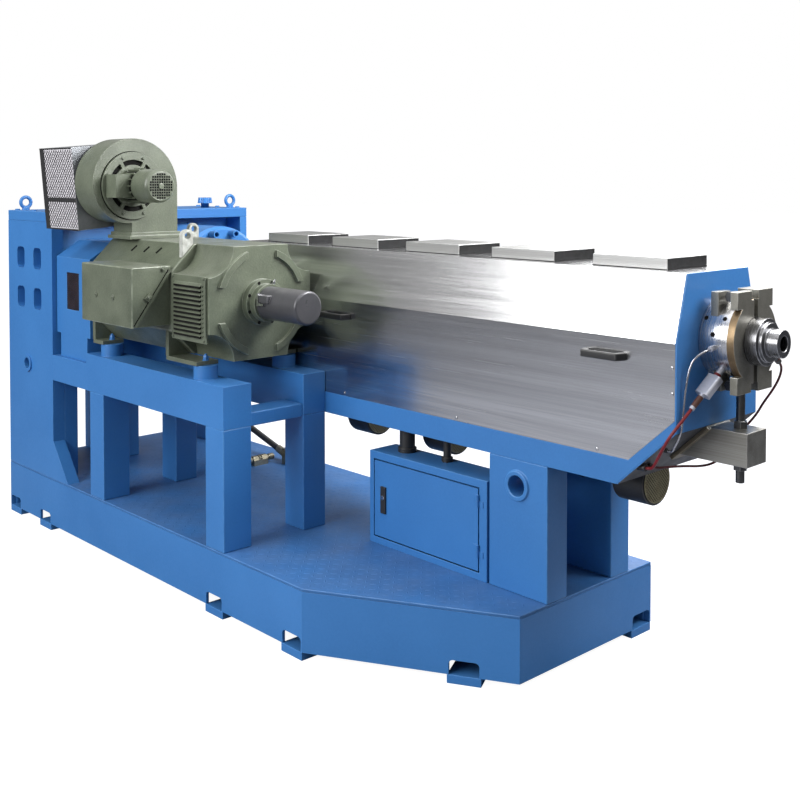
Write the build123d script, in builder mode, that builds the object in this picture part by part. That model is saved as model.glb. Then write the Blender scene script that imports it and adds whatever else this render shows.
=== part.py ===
"""A single-screw plastic extruder: motor, gearbox, hooded barrel and die end on one welded base."""
import math
import os

from build123d import *

os.makedirs("parts", exist_ok=True)

# Heights above the floor
centre_height = 1100        # barrel and motor shaft
foot_pad_height = 28
deck_height = 237
deck_plate = 10

# Heights over and under the barrel axis
gearbox_rise = 308          # top of the gearbox
hood_rise = 193             # flat top of the hood
tray_drop = 432             # underside of the painted tray and of the gear case
tray_height = 79            # painted strip under the bright hood panels

# Lengths along the barrel, from the gearbox end to the nozzle
gearbox_length = 445
gearbox_recess = 117
housing_length = 404
throat_length = 413
hood_length = 2147
collar_length = 94
clamp_length = 24
nozzle_body_length = 37
nozzle_step_length = 10
nozzle_neck_length = 38

# Heater zones of the barrel, and the saddle between the last two of them
zone_count = 5
first_zone_inset = 233
last_zone_inset = 238
zone_gap = 119
saddle_length = 40
saddle_clearance = 10

# Widths to the front and the rear of the barrel axis
hood_half_width = 218
motor_half_width = 230
motor_clearance = 2         # between the motor and the hood
foot_inset = 52             # from the motor's flank to its foot bolts
beam_width = 120
base_end_front = 345
terminal_box_depth = 164
housing_radius = 234        # thrust housing
housing_flange = 252
rear_wall = 40              # gearbox rear wall
rear_clearance = 53

# Places that follow from the sizes above
case_length = gearbox_length - gearbox_recess
throat_start = case_length + housing_length
hood_start = throat_start + throat_length
hood_end = hood_start + hood_length
clamp_start = hood_end + collar_length
nozzle_tip = clamp_start + clamp_length + nozzle_body_length + nozzle_step_length + nozzle_neck_length
zone_pitch = (hood_length - first_zone_inset - last_zone_inset) / (zone_count - 1)
zone_length = zone_pitch - zone_gap
zone_stations = [hood_start + first_zone_inset + zone_pitch * count for count in range(zone_count)]
base_length = zone_stations[-2] + zone_length / 2 + saddle_clearance + saddle_length
motor_offset = hood_half_width + motor_clearance + motor_half_width
foot_gauge = 2 * (motor_half_width - foot_inset)
base_front = motor_offset + foot_gauge / 2 + beam_width / 2
base_rear = housing_flange + rear_wall + rear_clearance
front_reach = motor_offset + motor_half_width + terminal_box_depth
left = -nozzle_tip / 2
axis_y = (front_reach - base_rear) / 2
gearbox_height = centre_height + gearbox_rise
hood_top_level = centre_height + hood_rise
tray_bottom = centre_height - tray_drop
panel_bottom = tray_bottom + tray_height
weld_gap = 0.2              # between plates that meet at a corner
seat_gap = 0.3              # between curved faces that seat on each other


def along(station):
    """Place along the barrel, from a distance to the gearbox end of the base."""
    return left + station


def across(offset):
    """Place across the machine, from a distance behind the barrel axis."""
    return axis_y + offset


def facing_front(y):
    """Upright plane at a given depth: local x runs along the barrel and local y is up."""
    return Plane.XZ.offset(-y)


def facing_die(x):
    """Upright plane across the barrel: local x runs to the rear and local y is up."""
    return Plane.YZ.offset(x)


def slab(x, y, z, mode=Mode.ADD):
    """A plain plate or block between two limits each way, in the part being built."""
    with BuildSketch(Plane.XY.offset(z[0])) as outline:
        with Locations(((x[0] + x[1]) / 2, (y[0] + y[1]) / 2)):
            Rectangle(x[1] - x[0], y[1] - y[0])
    extrude(outline.sketch, amount=z[1] - z[0], mode=mode)


def prism_along(points, start, end, mode=Mode.ADD):
    """A profile of (y, z) points carried along the barrel."""
    with BuildSketch(facing_die(start)) as outline:
        Polygon(*points, align=None)
    extrude(outline.sketch, amount=end - start, mode=mode)


def prism_across(points, front, rear, mode=Mode.ADD):
    """A profile of (x, z) points carried across the machine."""
    with BuildSketch(facing_front(rear)) as outline:
        Polygon(*points, align=None)
    extrude(outline.sketch, amount=rear - front, mode=mode)


def rod_along(y, z, radius, start, end, mode=Mode.ADD):
    """A round bar along the barrel."""
    with BuildSketch(facing_die(start)) as outline:
        with Locations((y, z)):
            Circle(radius)
    extrude(outline.sketch, amount=end - start, mode=mode)


def rod_across(x, z, radius, front, rear, mode=Mode.ADD):
    """A round bar across the machine."""
    with BuildSketch(facing_front(rear)) as outline:
        with Locations((x, z)):
            Circle(radius)
    extrude(outline.sketch, amount=rear - front, mode=mode)


def rod_up(x, y, radius, bottom, top, mode=Mode.ADD):
    """An upright round bar."""
    with BuildSketch(Plane.XY.offset(bottom)) as outline:
        with Locations((x, y)):
            Circle(radius)
    extrude(outline.sketch, amount=top - bottom, mode=mode)


def keep(piece, name):
    """Label a finished piece and write it."""
    piece.part.label = name
    export_step(piece.part, f"parts/{name}.step")


# Base: a skirt of upright plates under a deck, standing on pads
corner_run = 626            # length of the slanting edge along the barrel
skirt_plate = 12
pad_width = 110
second_pad = 360
third_pad = 1700
corner_pad_inset = 57
diagonal_pad_share = 0.755  # place of the pad along the slanting edge
end_pad_offset = 288
notch_width = 98
notch_height = 46
notch_corner = 14
anchor_radius = 13

base_corner = base_length - corner_run
pad_stations = [pad_width / 2, second_pad, third_pad, base_corner - corner_pad_inset]
skirt_top = deck_height - deck_plate
front_y = across(-base_front)
rear_y = across(base_rear)
base_plan = [
    (along(0), front_y),
    (along(base_corner), front_y),
    (along(base_length), across(-base_end_front)),
    (along(base_length), rear_y),
    (along(0), rear_y),
]
base_sides = [Edge.make_line(a, b) for a, b in zip(base_plan, base_plan[1:] + base_plan[:1])]


def edge_plane(side, share):
    """Upright plane at a share of the way along one side of the base, facing outwards."""
    run = side % 0
    outward = Vector(run.Y, -run.X, 0)
    return Plane(origin=side @ share, x_dir=run, z_dir=outward)


def station_share(side, station):
    """Share of the way along a lengthwise side at which a station lies."""
    return abs(along(station) - (side @ 0).X) / side.length


front_side, diagonal_side, end_side, rear_side = base_sides[:4]
pad_places = [edge_plane(front_side, station_share(front_side, station)) for station in pad_stations]
pad_places += [edge_plane(rear_side, station_share(rear_side, station)) for station in pad_stations]
pad_places += [edge_plane(diagonal_side, diagonal_pad_share)]
pad_places += [edge_plane(end_side, (across(end_pad_offset) - (end_side @ 0).Y) / end_side.length)]

with BuildPart() as base_skirts:
    with BuildSketch(Plane.XY.offset(foot_pad_height)) as skirt_ring:
        Polygon(*base_plan, align=None)
        offset(amount=-skirt_plate, mode=Mode.SUBTRACT, kind=Kind.INTERSECTION)
        with BuildLine() as mitres:
            for corner, (side, before) in zip(base_plan, zip(base_sides, base_sides[-1:] + base_sides)):
                inward = ((side % 0) - (before % 0)).normalized()
                Line(corner, Vector(*corner) + inward * 3 * skirt_plate)
        trace(line_width=weld_gap, mode=Mode.SUBTRACT)
    extrude(amount=skirt_top - foot_pad_height)
    for place in pad_places:
        with BuildSketch(place) as notch:
            with Locations((0, foot_pad_height)):
                Rectangle(notch_width, 2 * notch_height)
            fillet(notch.vertices(), notch_corner)
        extrude(amount=-2 * skirt_plate, mode=Mode.SUBTRACT)
keep(base_skirts, "base_skirts")

with BuildPart() as base_deck:
    with BuildSketch(Plane.XY.offset(skirt_top)):
        Polygon(*base_plan, align=None)
    extrude(amount=deck_plate)
keep(base_deck, "base_deck")

anchor_stations = (pad_stations[0], pad_stations[-1])
with BuildPart() as foot_pads:
    for place in pad_places:
        with BuildSketch(place):
            with Locations((0, foot_pad_height / 2)):
                Rectangle(pad_width, foot_pad_height)
        extrude(amount=-pad_width)
    with BuildSketch(Plane.XY):
        for station in anchor_stations:
            for anchor_y in (front_y + pad_width / 2, rear_y - pad_width / 2):
                with Locations((along(station), anchor_y)):
                    Circle(anchor_radius)
    extrude(amount=foot_pad_height, mode=Mode.SUBTRACT)
keep(foot_pads, "foot_pads")

# Gearbox: a closed case between two heavy walls, under one top plate and on three legs
front_wall = 54
top_wall = 45
slot_width = 77
slot_height = 96
slot_corner = 22
slot_stations = (132, 300)
slot_drop = 84              # middle of the lower slots under the barrel axis
slot_rise = 96
collar_station = 201
collar_drop = 382
collar_radius = 38
collar_bore = 25
collar_stand = 8
gusset_length = 136
gusset_height = 163
leg_depth = 63
middle_leg_offset = 255
middle_leg_depth = 110
rear_leg_depth = 110

wall_top = gearbox_height - top_wall
slot_levels = (centre_height - slot_drop, centre_height + slot_rise)
collar_level = centre_height - collar_drop
with BuildPart() as gearbox_front_wall:
    prism_across(
        [
            (along(0), deck_height),
            (along(gearbox_length + gusset_length), deck_height),
            (along(gearbox_length), deck_height + gusset_height),
            (along(gearbox_length), wall_top),
            (along(0), wall_top),
        ],
        front_y,
        front_y + front_wall,
    )
    with BuildSketch(facing_front(front_y)):
        with Locations((along(collar_station), collar_level)):
            Circle(collar_radius)
    extrude(amount=collar_stand)
    with BuildSketch(facing_front(front_y - collar_stand)):
        for station in slot_stations:
            with Locations(*[(along(station), level) for level in slot_levels]):
                RectangleRounded(slot_width, slot_height, slot_corner)
        with Locations((along(collar_station), collar_level)):
            Circle(collar_bore)
    extrude(amount=-(collar_stand + front_wall), mode=Mode.SUBTRACT)
keep(gearbox_front_wall, "gearbox_front_wall")

with BuildPart() as gearbox_rear_wall:
    slab((along(0), along(gearbox_length)), (rear_y - rear_wall, rear_y), (deck_height, wall_top))
keep(gearbox_rear_wall, "gearbox_rear_wall")

with BuildPart() as gearbox_top:
    slab((along(0), along(gearbox_length)), (front_y, rear_y), (wall_top, gearbox_height))
keep(gearbox_top, "gearbox_top")

case_front = front_y + front_wall
case_rear = rear_y - rear_wall
with BuildPart() as gear_case:
    slab((along(0), along(case_length)), (case_front, case_rear), (tray_bottom, wall_top))
keep(gear_case, "gear_case")

with BuildPart() as gearbox_legs:
    slab(
        (along(0), along(gearbox_length)),
        (case_front, case_front + leg_depth),
        (deck_height, tray_bottom),
    )
    slab(
        (along(0), along(case_length)),
        [across(-middle_leg_offset + side * middle_leg_depth / 2) for side in (-1, 1)],
        (deck_height, tray_bottom),
    )
    slab(
        (along(0), along(case_length)),
        (case_rear - rear_leg_depth, case_rear),
        (deck_height, tray_bottom),
    )
keep(gearbox_legs, "gearbox_legs")

# Thrust housing: a turned drum on the gear case, with two stub pipes on its face
housing_flange_thickness = 24
housing_edge = 14
stub_radius = 17
stub_bore = 11
stub_length = 45
stub_spread = 53
stub_rise = 199

with BuildPart() as thrust_housing:
    flange_end = along(case_length + housing_flange_thickness)
    rod_along(across(0), centre_height, housing_flange, along(case_length), flange_end)
    rod_along(across(0), centre_height, housing_radius, along(case_length), along(throat_start))
    chamfer(thrust_housing.faces().sort_by(Axis.X)[-1].edges(), housing_edge)
    with BuildSketch(facing_die(along(throat_start))):
        with Locations(*[(across(side * stub_spread), centre_height + stub_rise) for side in (-1, 1)]):
            Circle(stub_radius)
            Circle(stub_bore, mode=Mode.SUBTRACT)
    extrude(amount=stub_length)
keep(thrust_housing, "thrust_housing")

# Lifting eyes and oil cap on the gearbox
eye_inset_along = 66        # from the gearbox's ends
eye_inset_across = 56       # from the gearbox's walls
eye_ring = 24
eye_wire = 8
eye_base_radius = 17
eye_base_height = 12
cap_station = 291
cap_inset = 145
cap_radius = 37
cap_neck = 20
cap_neck_height = 22
cap_height = 50
cap_lobes = 6
cap_lobe_radius = 10
cap_draft = 6

eye_places = [
    (along(eye_inset_along), front_y + eye_inset_across),
    (along(gearbox_length - eye_inset_along), rear_y - eye_inset_across),
]
with BuildPart() as lifting_eyes:
    for eye_x, eye_y in eye_places:
        rod_up(eye_x, eye_y, eye_base_radius, gearbox_height, gearbox_height + eye_base_height)
        ring_centre = (eye_x, eye_y, gearbox_height + eye_base_height + eye_ring)
        with Locations(Plane(origin=ring_centre, x_dir=(0, 1, 0), z_dir=(1, 0, 0))):
            Torus(eye_ring, eye_wire)
keep(lifting_eyes, "lifting_eyes")

with BuildPart() as oil_cap:
    cap_x = along(cap_station)
    cap_y = rear_y - cap_inset
    rod_up(cap_x, cap_y, cap_neck, gearbox_height, gearbox_height + cap_neck_height)
    with BuildSketch(Plane.XY.offset(gearbox_height + cap_neck_height)):
        with Locations((cap_x, cap_y)):
            Circle(cap_radius)
            with PolarLocations(cap_radius, cap_lobes):
                Circle(cap_lobe_radius, mode=Mode.SUBTRACT)
    extrude(amount=cap_height - cap_neck_height, taper=cap_draft)
keep(oil_cap, "oil_cap")

# Feed throat: the block where pellets fall into the barrel, with a bolting flange on top
throat_half_width = 140
throat_half_height = 140
throat_chamfer = 45
throat_flange_place = 228   # middle of the flange, from the start of the throat
throat_flange_length = 180
throat_flange_width = 240
throat_flange_rise = 115
throat_flange_thickness = 20
feed_length = 100
feed_width = 90
feed_bolt_spacing = (144, 200)
feed_bolt_radius = 6.5

throat_flange_station = throat_start + throat_flange_place
throat_flange_top = centre_height + throat_flange_rise
flange_seat = throat_flange_top - throat_flange_thickness
throat_flange_x = (
    along(throat_flange_station - throat_flange_length / 2),
    along(throat_flange_station + throat_flange_length / 2),
)
with BuildPart() as feed_throat:
    with BuildSketch(facing_die(along(throat_start))) as throat_profile:
        with Locations((across(0), (flange_seat + centre_height - throat_half_height) / 2)):
            Rectangle(2 * throat_half_width, flange_seat - centre_height + throat_half_height)
        chamfer(throat_profile.vertices(), throat_chamfer)
    extrude(amount=throat_length)
    slab(
        throat_flange_x,
        (across(-throat_flange_width / 2), across(throat_flange_width / 2)),
        (flange_seat, throat_flange_top),
    )
    with BuildSketch(Plane.XY.offset(throat_flange_top)):
        with Locations((along(throat_flange_station), across(0))):
            Rectangle(feed_length, feed_width)
    extrude(amount=centre_height - throat_flange_top, mode=Mode.SUBTRACT)
    with BuildSketch(Plane.XY.offset(throat_flange_top)):
        with Locations((along(throat_flange_station), across(0))):
            with GridLocations(*feed_bolt_spacing, 2, 2):
                Circle(feed_bolt_radius)
    extrude(amount=-throat_flange_thickness, mode=Mode.SUBTRACT)
keep(feed_throat, "feed_throat")

# Coupling guard: a folded sheet box between gearbox and motor, with a viewing window
guard_gap = 5
guard_length = 302
guard_setback = 20          # behind the front of the base
guard_clearance = 6         # to the thrust housing
guard_drop = 217
guard_eaves_rise = 116
guard_rise = 183
guard_slope = 108
guard_sheet = 4
guard_foot_inset = (35, 27)
guard_foot_depth = 96
window_start = 94
window_length = 110
window_drop = 108
window_height = 159

# Motor stand and motor heights, which the guard's foot shares
motor_half_height = 210
foot_plate = 15
pad_height = 49
beam_depth = 154
ledge_step = 43

shaft_height = motor_half_height + foot_plate
motor_seat = centre_height - shaft_height
beam_top = motor_seat - pad_height
beam_bottom = beam_top - beam_depth
ledge_height = beam_top - ledge_step
guard_front = base_front - guard_setback
guard_rear = housing_radius + guard_clearance
guard_bottom = centre_height - guard_drop
guard_eaves = centre_height + guard_eaves_rise
guard_top = centre_height + guard_rise
guard_start = gearbox_length + guard_gap
guard_end = guard_start + guard_length
window_x = (along(guard_start + window_start), along(guard_start + window_start + window_length))
window_levels = (centre_height - window_drop, centre_height - window_drop + window_height)


def guard_profile(inset):
    """Outline of the guard across the barrel, drawn in by a sheet's thickness."""
    return [
        (across(-guard_front + inset), guard_bottom + inset),
        (across(-guard_front + inset), guard_eaves - inset / 2),
        (across(-guard_front + guard_slope + inset / 2), guard_top - inset),
        (across(-guard_rear - inset), guard_top - inset),
        (across(-guard_rear - inset), guard_bottom + inset),
    ]


with BuildPart() as coupling_guard:
    prism_along(guard_profile(0), along(guard_start), along(guard_end))
    slab(
        (along(guard_start + guard_foot_inset[0]), along(guard_end - guard_foot_inset[1])),
        (across(-guard_front), across(-guard_front + guard_foot_depth)),
        (ledge_height, guard_bottom),
    )
    prism_along(
        guard_profile(guard_sheet),
        along(guard_start + guard_sheet),
        along(guard_end - guard_sheet),
        Mode.SUBTRACT,
    )
    slab(
        window_x,
        (across(-guard_front), across(-guard_front + guard_sheet)),
        window_levels,
        Mode.SUBTRACT,
    )
keep(coupling_guard, "coupling_guard")

# Motor stand: two box beams on posts, with round pads under the motor's feet
shaft_gap = 48                          # from the guard to the drive end of the motor
yoke_length = 620
bell_length = 245
first_foot = 67                         # foot bolts, from the two ends of the motor
last_foot = 100
beam_overhang = 100
rear_beam_overhang = 90
beam_clearance = 1                      # to the hood
pad_edge = 7
front_post_inset = 31
rear_post_setback = 5
post_size = 115
cross_member_inset = 15
cross_member_width = 110
cross_member_drop = 6           # below the beams
cross_member_depth = 50

motor_face = guard_end + shaft_gap
yoke_end = motor_face + yoke_length
bell_face = yoke_end + bell_length
beam_end = bell_face + beam_overhang
rear_beam_end = bell_face + rear_beam_overhang
front_post_stations = (guard_end + front_post_inset, beam_end - post_size)
rear_post_stations = (guard_end - rear_post_setback, rear_beam_end - post_size)
pad_radius = foot_inset - pad_edge
rear_beam_width = 2 * (foot_inset + motor_clearance - beam_clearance)
foot_stations = (motor_face + first_foot, bell_face - last_foot)
foot_offsets = (-motor_offset - foot_gauge / 2, -motor_offset + foot_gauge / 2)
beam_limits = [
    (across(offset_y - width / 2), across(offset_y + width / 2))
    for offset_y, width in zip(foot_offsets, (beam_width, rear_beam_width))
]

with BuildPart() as front_beam:
    prism_across(
        [
            (along(gearbox_length), beam_bottom),
            (along(beam_end), beam_bottom),
            (along(beam_end), beam_top),
            (along(guard_end), beam_top),
            (along(guard_end), ledge_height),
            (along(gearbox_length), ledge_height),
        ],
        *beam_limits[0],
    )
    for station in foot_stations:
        rod_up(along(station), across(foot_offsets[0]), pad_radius, beam_top, motor_seat)
keep(front_beam, "front_beam")

with BuildPart() as rear_beam:
    slab((along(case_length), along(rear_beam_end)), beam_limits[1], (beam_bottom, beam_top))
    for station in foot_stations:
        rod_up(along(station), across(foot_offsets[1]), pad_radius, beam_top, motor_seat)
keep(rear_beam, "rear_beam")

with BuildPart() as motor_posts:
    for limits, stations in zip(beam_limits, (front_post_stations, rear_post_stations)):
        for station in stations:
            slab((along(station), along(station + post_size)), limits, (deck_height, beam_bottom))
keep(motor_posts, "motor_posts")

with BuildPart() as stand_cross_member:
    slab(
        (along(beam_end - cross_member_inset - cross_member_width), along(beam_end - cross_member_inset)),
        (beam_limits[0][1], beam_limits[1][0]),
        (beam_bottom - cross_member_drop, beam_bottom - cross_member_drop + cross_member_depth),
    )
keep(stand_cross_member, "stand_cross_member")

# Motor: an eight-sided yoke with a cast end bell, side covers and feet
motor_corner = 97
bell_scallop = 108                      # hollow corners of the end bell
rib_stand = 12
rib_radii = (176, 200)
rib_gap = 130
hub_radius = 86
hub_length = 54
hub_step_radius = 70
foot_backs = (67, 193)       # from the foot bolts towards the gearbox
foot_lead = 14              # past the foot bolts, towards the die
foot_edge = 2
web_thickness = 20
shaft_radius = 32

foot_reach = foot_inset - foot_edge
motor_y = across(-motor_offset)
hub_end = bell_face + hub_length


def octagon(half_width, half_height, corner):
    """Eight-sided outline of the motor about its shaft."""
    points = []
    for side_y, side_z, first in ((1, 1, True), (-1, 1, False), (-1, -1, True), (1, -1, False)):
        steep = (motor_y + side_y * half_width, centre_height + side_z * (half_height - corner))
        flat = (motor_y + side_y * (half_width - corner), centre_height + side_z * half_height)
        points += [steep, flat] if first else [flat, steep]
    return points


with BuildPart() as motor_yoke:
    yoke_profile = octagon(motor_half_width, motor_half_height, motor_corner)
    prism_along(yoke_profile, along(motor_face), along(yoke_end))
    rod_along(motor_y, centre_height, shaft_radius, along(guard_end), along(motor_face))
keep(motor_yoke, "motor_yoke")

with BuildPart() as motor_end_bell:
    with BuildSketch(facing_die(along(yoke_end))):
        with Locations((motor_y, centre_height)):
            Rectangle(2 * motor_half_width, 2 * motor_half_height)
            with GridLocations(2 * motor_half_width, 2 * motor_half_height, 2, 2):
                Circle(bell_scallop, mode=Mode.SUBTRACT)
    extrude(amount=bell_length)
    with BuildSketch(facing_die(along(bell_face))):
        with Locations((motor_y, centre_height)):
            Circle(rib_radii[1])
            Circle(rib_radii[0], mode=Mode.SUBTRACT)
            Rectangle(rib_gap, 3 * rib_radii[1], mode=Mode.SUBTRACT)
            Rectangle(3 * rib_radii[1], rib_gap, mode=Mode.SUBTRACT)
    extrude(amount=rib_stand)
    rod_along(motor_y, centre_height, hub_radius, along(bell_face), along(bell_face + hub_length / 2))
    rod_along(motor_y, centre_height, hub_step_radius, along(bell_face), along(hub_end))
keep(motor_end_bell, "motor_end_bell")

with BuildPart() as motor_feet:
    for station, back in zip(foot_stations, foot_backs):
        for offset_y, side in zip(foot_offsets, (-1, 1)):
            inner = motor_y + side * (motor_half_width - motor_corner)
            outer = across(offset_y) + side * foot_reach
            slab(
                (along(station - back), along(station + foot_lead)),
                (min(inner, outer), max(inner, outer)),
                (motor_seat, motor_seat + foot_plate),
            )
            web_start = along(station - back)
            flank = motor_y + side * motor_half_width
            prism_along(
                [
                    (inner, motor_seat + foot_plate),
                    (flank, motor_seat + foot_plate),
                    (flank, motor_seat + foot_plate + motor_corner),
                ],
                web_start,
                web_start + web_thickness,
            )
keep(motor_feet, "motor_feet")

# Louvred cover on the front flank of the end bell
cover_length = 222
cover_drop = 135
cover_rise = 105
cover_plate = 9
cover_inset = 12
louvre_count = 12
louvre_inset = 22
louvre_stand = 9
louvre_height = 11

cover_start = yoke_end + cover_inset
cover_levels = (centre_height - cover_drop, centre_height + cover_rise)
louvre_pitch = (cover_levels[1] - cover_levels[0] - 2 * louvre_inset) / louvre_count
with BuildPart() as louvre_cover:
    plate_face = motor_y - motor_half_width - cover_plate
    slab(
        (along(cover_start), along(cover_start + cover_length)),
        (plate_face, plate_face + cover_plate),
        cover_levels,
    )
    for count in range(louvre_count):
        level = cover_levels[0] + louvre_inset + (count + 0.5) * louvre_pitch
        prism_along(
            [
                (plate_face, level - louvre_height / 2),
                (plate_face - louvre_stand, level - louvre_height / 2),
                (plate_face, level + louvre_height / 2),
            ],
            along(cover_start + louvre_inset),
            along(cover_start + cover_length - louvre_inset),
        )
keep(louvre_cover, "louvre_cover")

# Terminal box on the motor's front flank: a wedge-shaped base closed by a wedge-shaped cover
box_inset = 235             # from the drive end of the motor
box_length = 370
box_drop = 91
box_rise = 132
seam_lip = 9
seam_stand = 8
box_start = motor_face + box_inset
box_levels = (centre_height - box_drop, centre_height + box_rise)
flank_y = motor_y - motor_half_width
box_front = flank_y - terminal_box_depth

with BuildPart() as terminal_box_base:
    prism_along(
        [
            (flank_y, box_levels[1] - seam_lip),
            (flank_y, box_levels[0]),
            (box_front + seam_lip, box_levels[0]),
        ],
        along(box_start),
        along(box_start + box_length),
    )
keep(terminal_box_base, "terminal_box_base")

with BuildPart() as terminal_box_cover:
    prism_along(
        [
            (flank_y, box_levels[1] - seam_lip),
            (box_front + seam_lip, box_levels[0]),
            (box_front, box_levels[0]),
            (box_front, box_levels[1]),
            (flank_y, box_levels[1]),
        ],
        along(box_start - seam_stand),
        along(box_start + box_length + seam_stand),
    )
keep(terminal_box_cover, "terminal_box_cover")

# Speed sensor on the tail of the motor
tail_radius = 61
tail_length = 229
tail_edge = 10
tail_pad_inset = 26
tail_pad_length = 52
tail_pad_width = 26
tail_pad_stand = 10

tail_end = hub_end + tail_length
with BuildPart() as tail_sensor:
    rod_along(motor_y, centre_height, tail_radius, along(hub_end), along(tail_end))
    fillet(tail_sensor.faces().sort_by(Axis.X)[-1].edges(), tail_edge)
    slab(
        (along(hub_end + tail_pad_inset), along(hub_end + tail_pad_inset + tail_pad_length)),
        (motor_y - tail_radius - tail_pad_stand, motor_y - tail_radius / 2),
        (centre_height + tail_pad_stand, centre_height + tail_pad_stand + tail_pad_width),
    )
keep(tail_sensor, "tail_sensor")

# Lifting lugs on the motor's upper corners: in front by the end bell, behind near the drive end
lug_inset = 2               # front lug, from the end bell
rear_lug_inset = 138        # rear lug, from the motor's face
lug_thickness = 22
lug_eye = 25
lug_hole = 12
lug_side = 160              # eyes, from the motor shaft
lug_rise = 30               # eyes, over the yoke

corner_top = centre_height + motor_half_height
flat_half = motor_half_width - motor_corner
lug_inner, lug_outer = lug_side - lug_eye, lug_side + lug_eye
with BuildPart() as motor_lifting_lugs:
    for side, lug_start in ((-1, yoke_end - lug_inset - lug_thickness), (1, motor_face + rear_lug_inset)):
        with BuildSketch(Plane(origin=(along(lug_start), motor_y, corner_top), x_dir=(0, 1, 0), z_dir=(1, 0, 0))):
            with BuildLine():
                Polyline(
                    (side * lug_outer, lug_rise),
                    (side * lug_outer, flat_half - lug_outer),
                    (side * lug_inner, flat_half - lug_inner),
                    (side * lug_inner, lug_rise),
                )
                ThreePointArc(
                    (side * lug_inner, lug_rise), (side * lug_side, lug_rise + lug_eye), (side * lug_outer, lug_rise)
                )
            make_face()
            with Locations((side * lug_side, lug_rise)):
                Circle(lug_hole, mode=Mode.SUBTRACT)
        extrude(amount=lug_thickness)
keep(motor_lifting_lugs, "motor_lifting_lugs")

# Motor blower: a spiral fan casing on a flanged foot, its own small motor and an inlet filter
blower_inset = 51                       # from the drive end of the motor
blower_depth = 151
outlet_shift = 52                       # rear of the outlet, behind the motor shaft
outlet_width = 211
spiral_loss = 20                        # drop in radius over each quarter turn
blower_axis_rise = 217
blower_base_layers = ((18, 14), (9, 13))
inlet_ring = (105, 136)
inlet_disc = 84
ring_stand = 12
spoke_count = 6
spoke_width = 14
fan_motor_radius = 62
fan_motor_length = 96
fin_count = 16
fin_height = 9
fin_thickness = 5
fin_inset = 8
cowl_radius = 66
cowl_length = 118
cowl_edge = 16
junction_box = (78, 58, 92)

quarter_turn = 90
blower_start = motor_face + blower_inset
outlet_rear = motor_y + outlet_shift
blower_y = outlet_rear - outlet_width
motor_top = centre_height + motor_half_height
base_top = motor_top + sum(height for reach, height in blower_base_layers)
blower_z = motor_top + blower_axis_rise
blower_end = blower_start + blower_depth

with BuildPart() as blower_base:
    level = motor_top
    for reach, height in blower_base_layers:
        slab(
            (along(blower_start - reach), along(blower_end + reach)),
            (blower_y - reach, outlet_rear + reach),
            (level, level + height),
        )
        level += height
keep(blower_base, "blower_base")


def spiral(turn):
    """Point of the fan casing's outline, in degrees round from the outlet side."""
    radius = outlet_width - spiral_loss * turn / quarter_turn
    angle = math.radians(turn)
    return (blower_y + radius * math.cos(angle), blower_z + radius * math.sin(angle))


with BuildPart() as blower_casing:
    with BuildSketch(facing_die(along(blower_start))):
        with BuildLine():
            Line((outlet_rear, base_top), spiral(0))
            for quarter in range(3):
                turns = [(quarter + share) * quarter_turn for share in (0, 0.5, 1)]
                ThreePointArc(*[spiral(turn) for turn in turns])
            Polyline(spiral(3 * quarter_turn), (blower_y, base_top), (outlet_rear, base_top))
        make_face()
    extrude(amount=blower_depth)
    with BuildSketch(facing_die(along(blower_end))):
        with Locations((blower_y, blower_z)):
            Circle(inlet_ring[1])
            Circle(inlet_ring[0], mode=Mode.SUBTRACT)
            Circle(inlet_disc)
            with PolarLocations(0, spoke_count):
                with Locations(((inlet_disc + inlet_ring[0]) / 2, 0)):
                    Rectangle(inlet_ring[1] - inlet_disc, spoke_width)
    extrude(amount=ring_stand)
keep(blower_casing, "blower_casing")

fan_motor_start = blower_end + ring_stand
cowl_start = fan_motor_start + fan_motor_length
with BuildPart() as blower_motor:
    rod_along(blower_y, blower_z, cowl_radius, along(cowl_start), along(cowl_start + cowl_length))
    fillet(blower_motor.faces().sort_by(Axis.X)[-1].edges(), cowl_edge)
    rod_along(blower_y, blower_z, fan_motor_radius, along(fan_motor_start), along(cowl_start))
    with BuildSketch(facing_die(along(fan_motor_start + fin_inset))):
        with Locations((blower_y, blower_z)):
            with PolarLocations(fan_motor_radius, fin_count):
                Rectangle(2 * fin_height, fin_thickness)
    extrude(amount=fan_motor_length - fin_inset)
    slab(
        (along(fan_motor_start), along(fan_motor_start + junction_box[0])),
        (blower_y - fan_motor_radius - junction_box[1], blower_y),
        (blower_z - junction_box[2] / 2, blower_z + junction_box[2] / 2),
    )
keep(blower_motor, "blower_motor")

filter_length = 288
filter_depth = 330
filter_height = 340
filter_collar = 13
filter_collar_radius = 125
filter_tilt = 5

filter_end = blower_start - filter_collar
with BuildPart() as filter_box:
    filter_plane = Plane(origin=(along(filter_end), blower_y, blower_z), x_dir=(0, 1, 0), z_dir=(1, 0, 0))
    with BuildSketch(filter_plane):
        Rectangle(filter_depth, filter_height, rotation=filter_tilt)
    extrude(amount=-filter_length)
    with BuildSketch(filter_plane):
        Circle(filter_collar_radius)
    extrude(amount=filter_collar)
keep(filter_box, "filter_box")

# Barrel: the pressure tube under the hood, with its heater zones
barrel_radius = 92
heater_radius = 128

with BuildPart() as barrel:
    rod_along(across(0), centre_height, barrel_radius, along(hood_start), along(hood_end))
    for station in zone_stations:
        zone_start = along(station - zone_length / 2)
        rod_along(across(0), centre_height, heater_radius, zone_start, zone_start + zone_length)
keep(barrel, "barrel")

# Hood: folded bright panels over the barrel, on a painted tray
hood_top_half = 164
panel_sheet = 3
tray_plate = 5
end_plate = 5
tray_tip_run = 202          # from the end of the hood back to the tip of the tray
tray_bend_rise = 180        # slanting part of the end plate
panel_cut_run = 159
panel_cut_rise = 41         # painted strip along the slanting end

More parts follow.
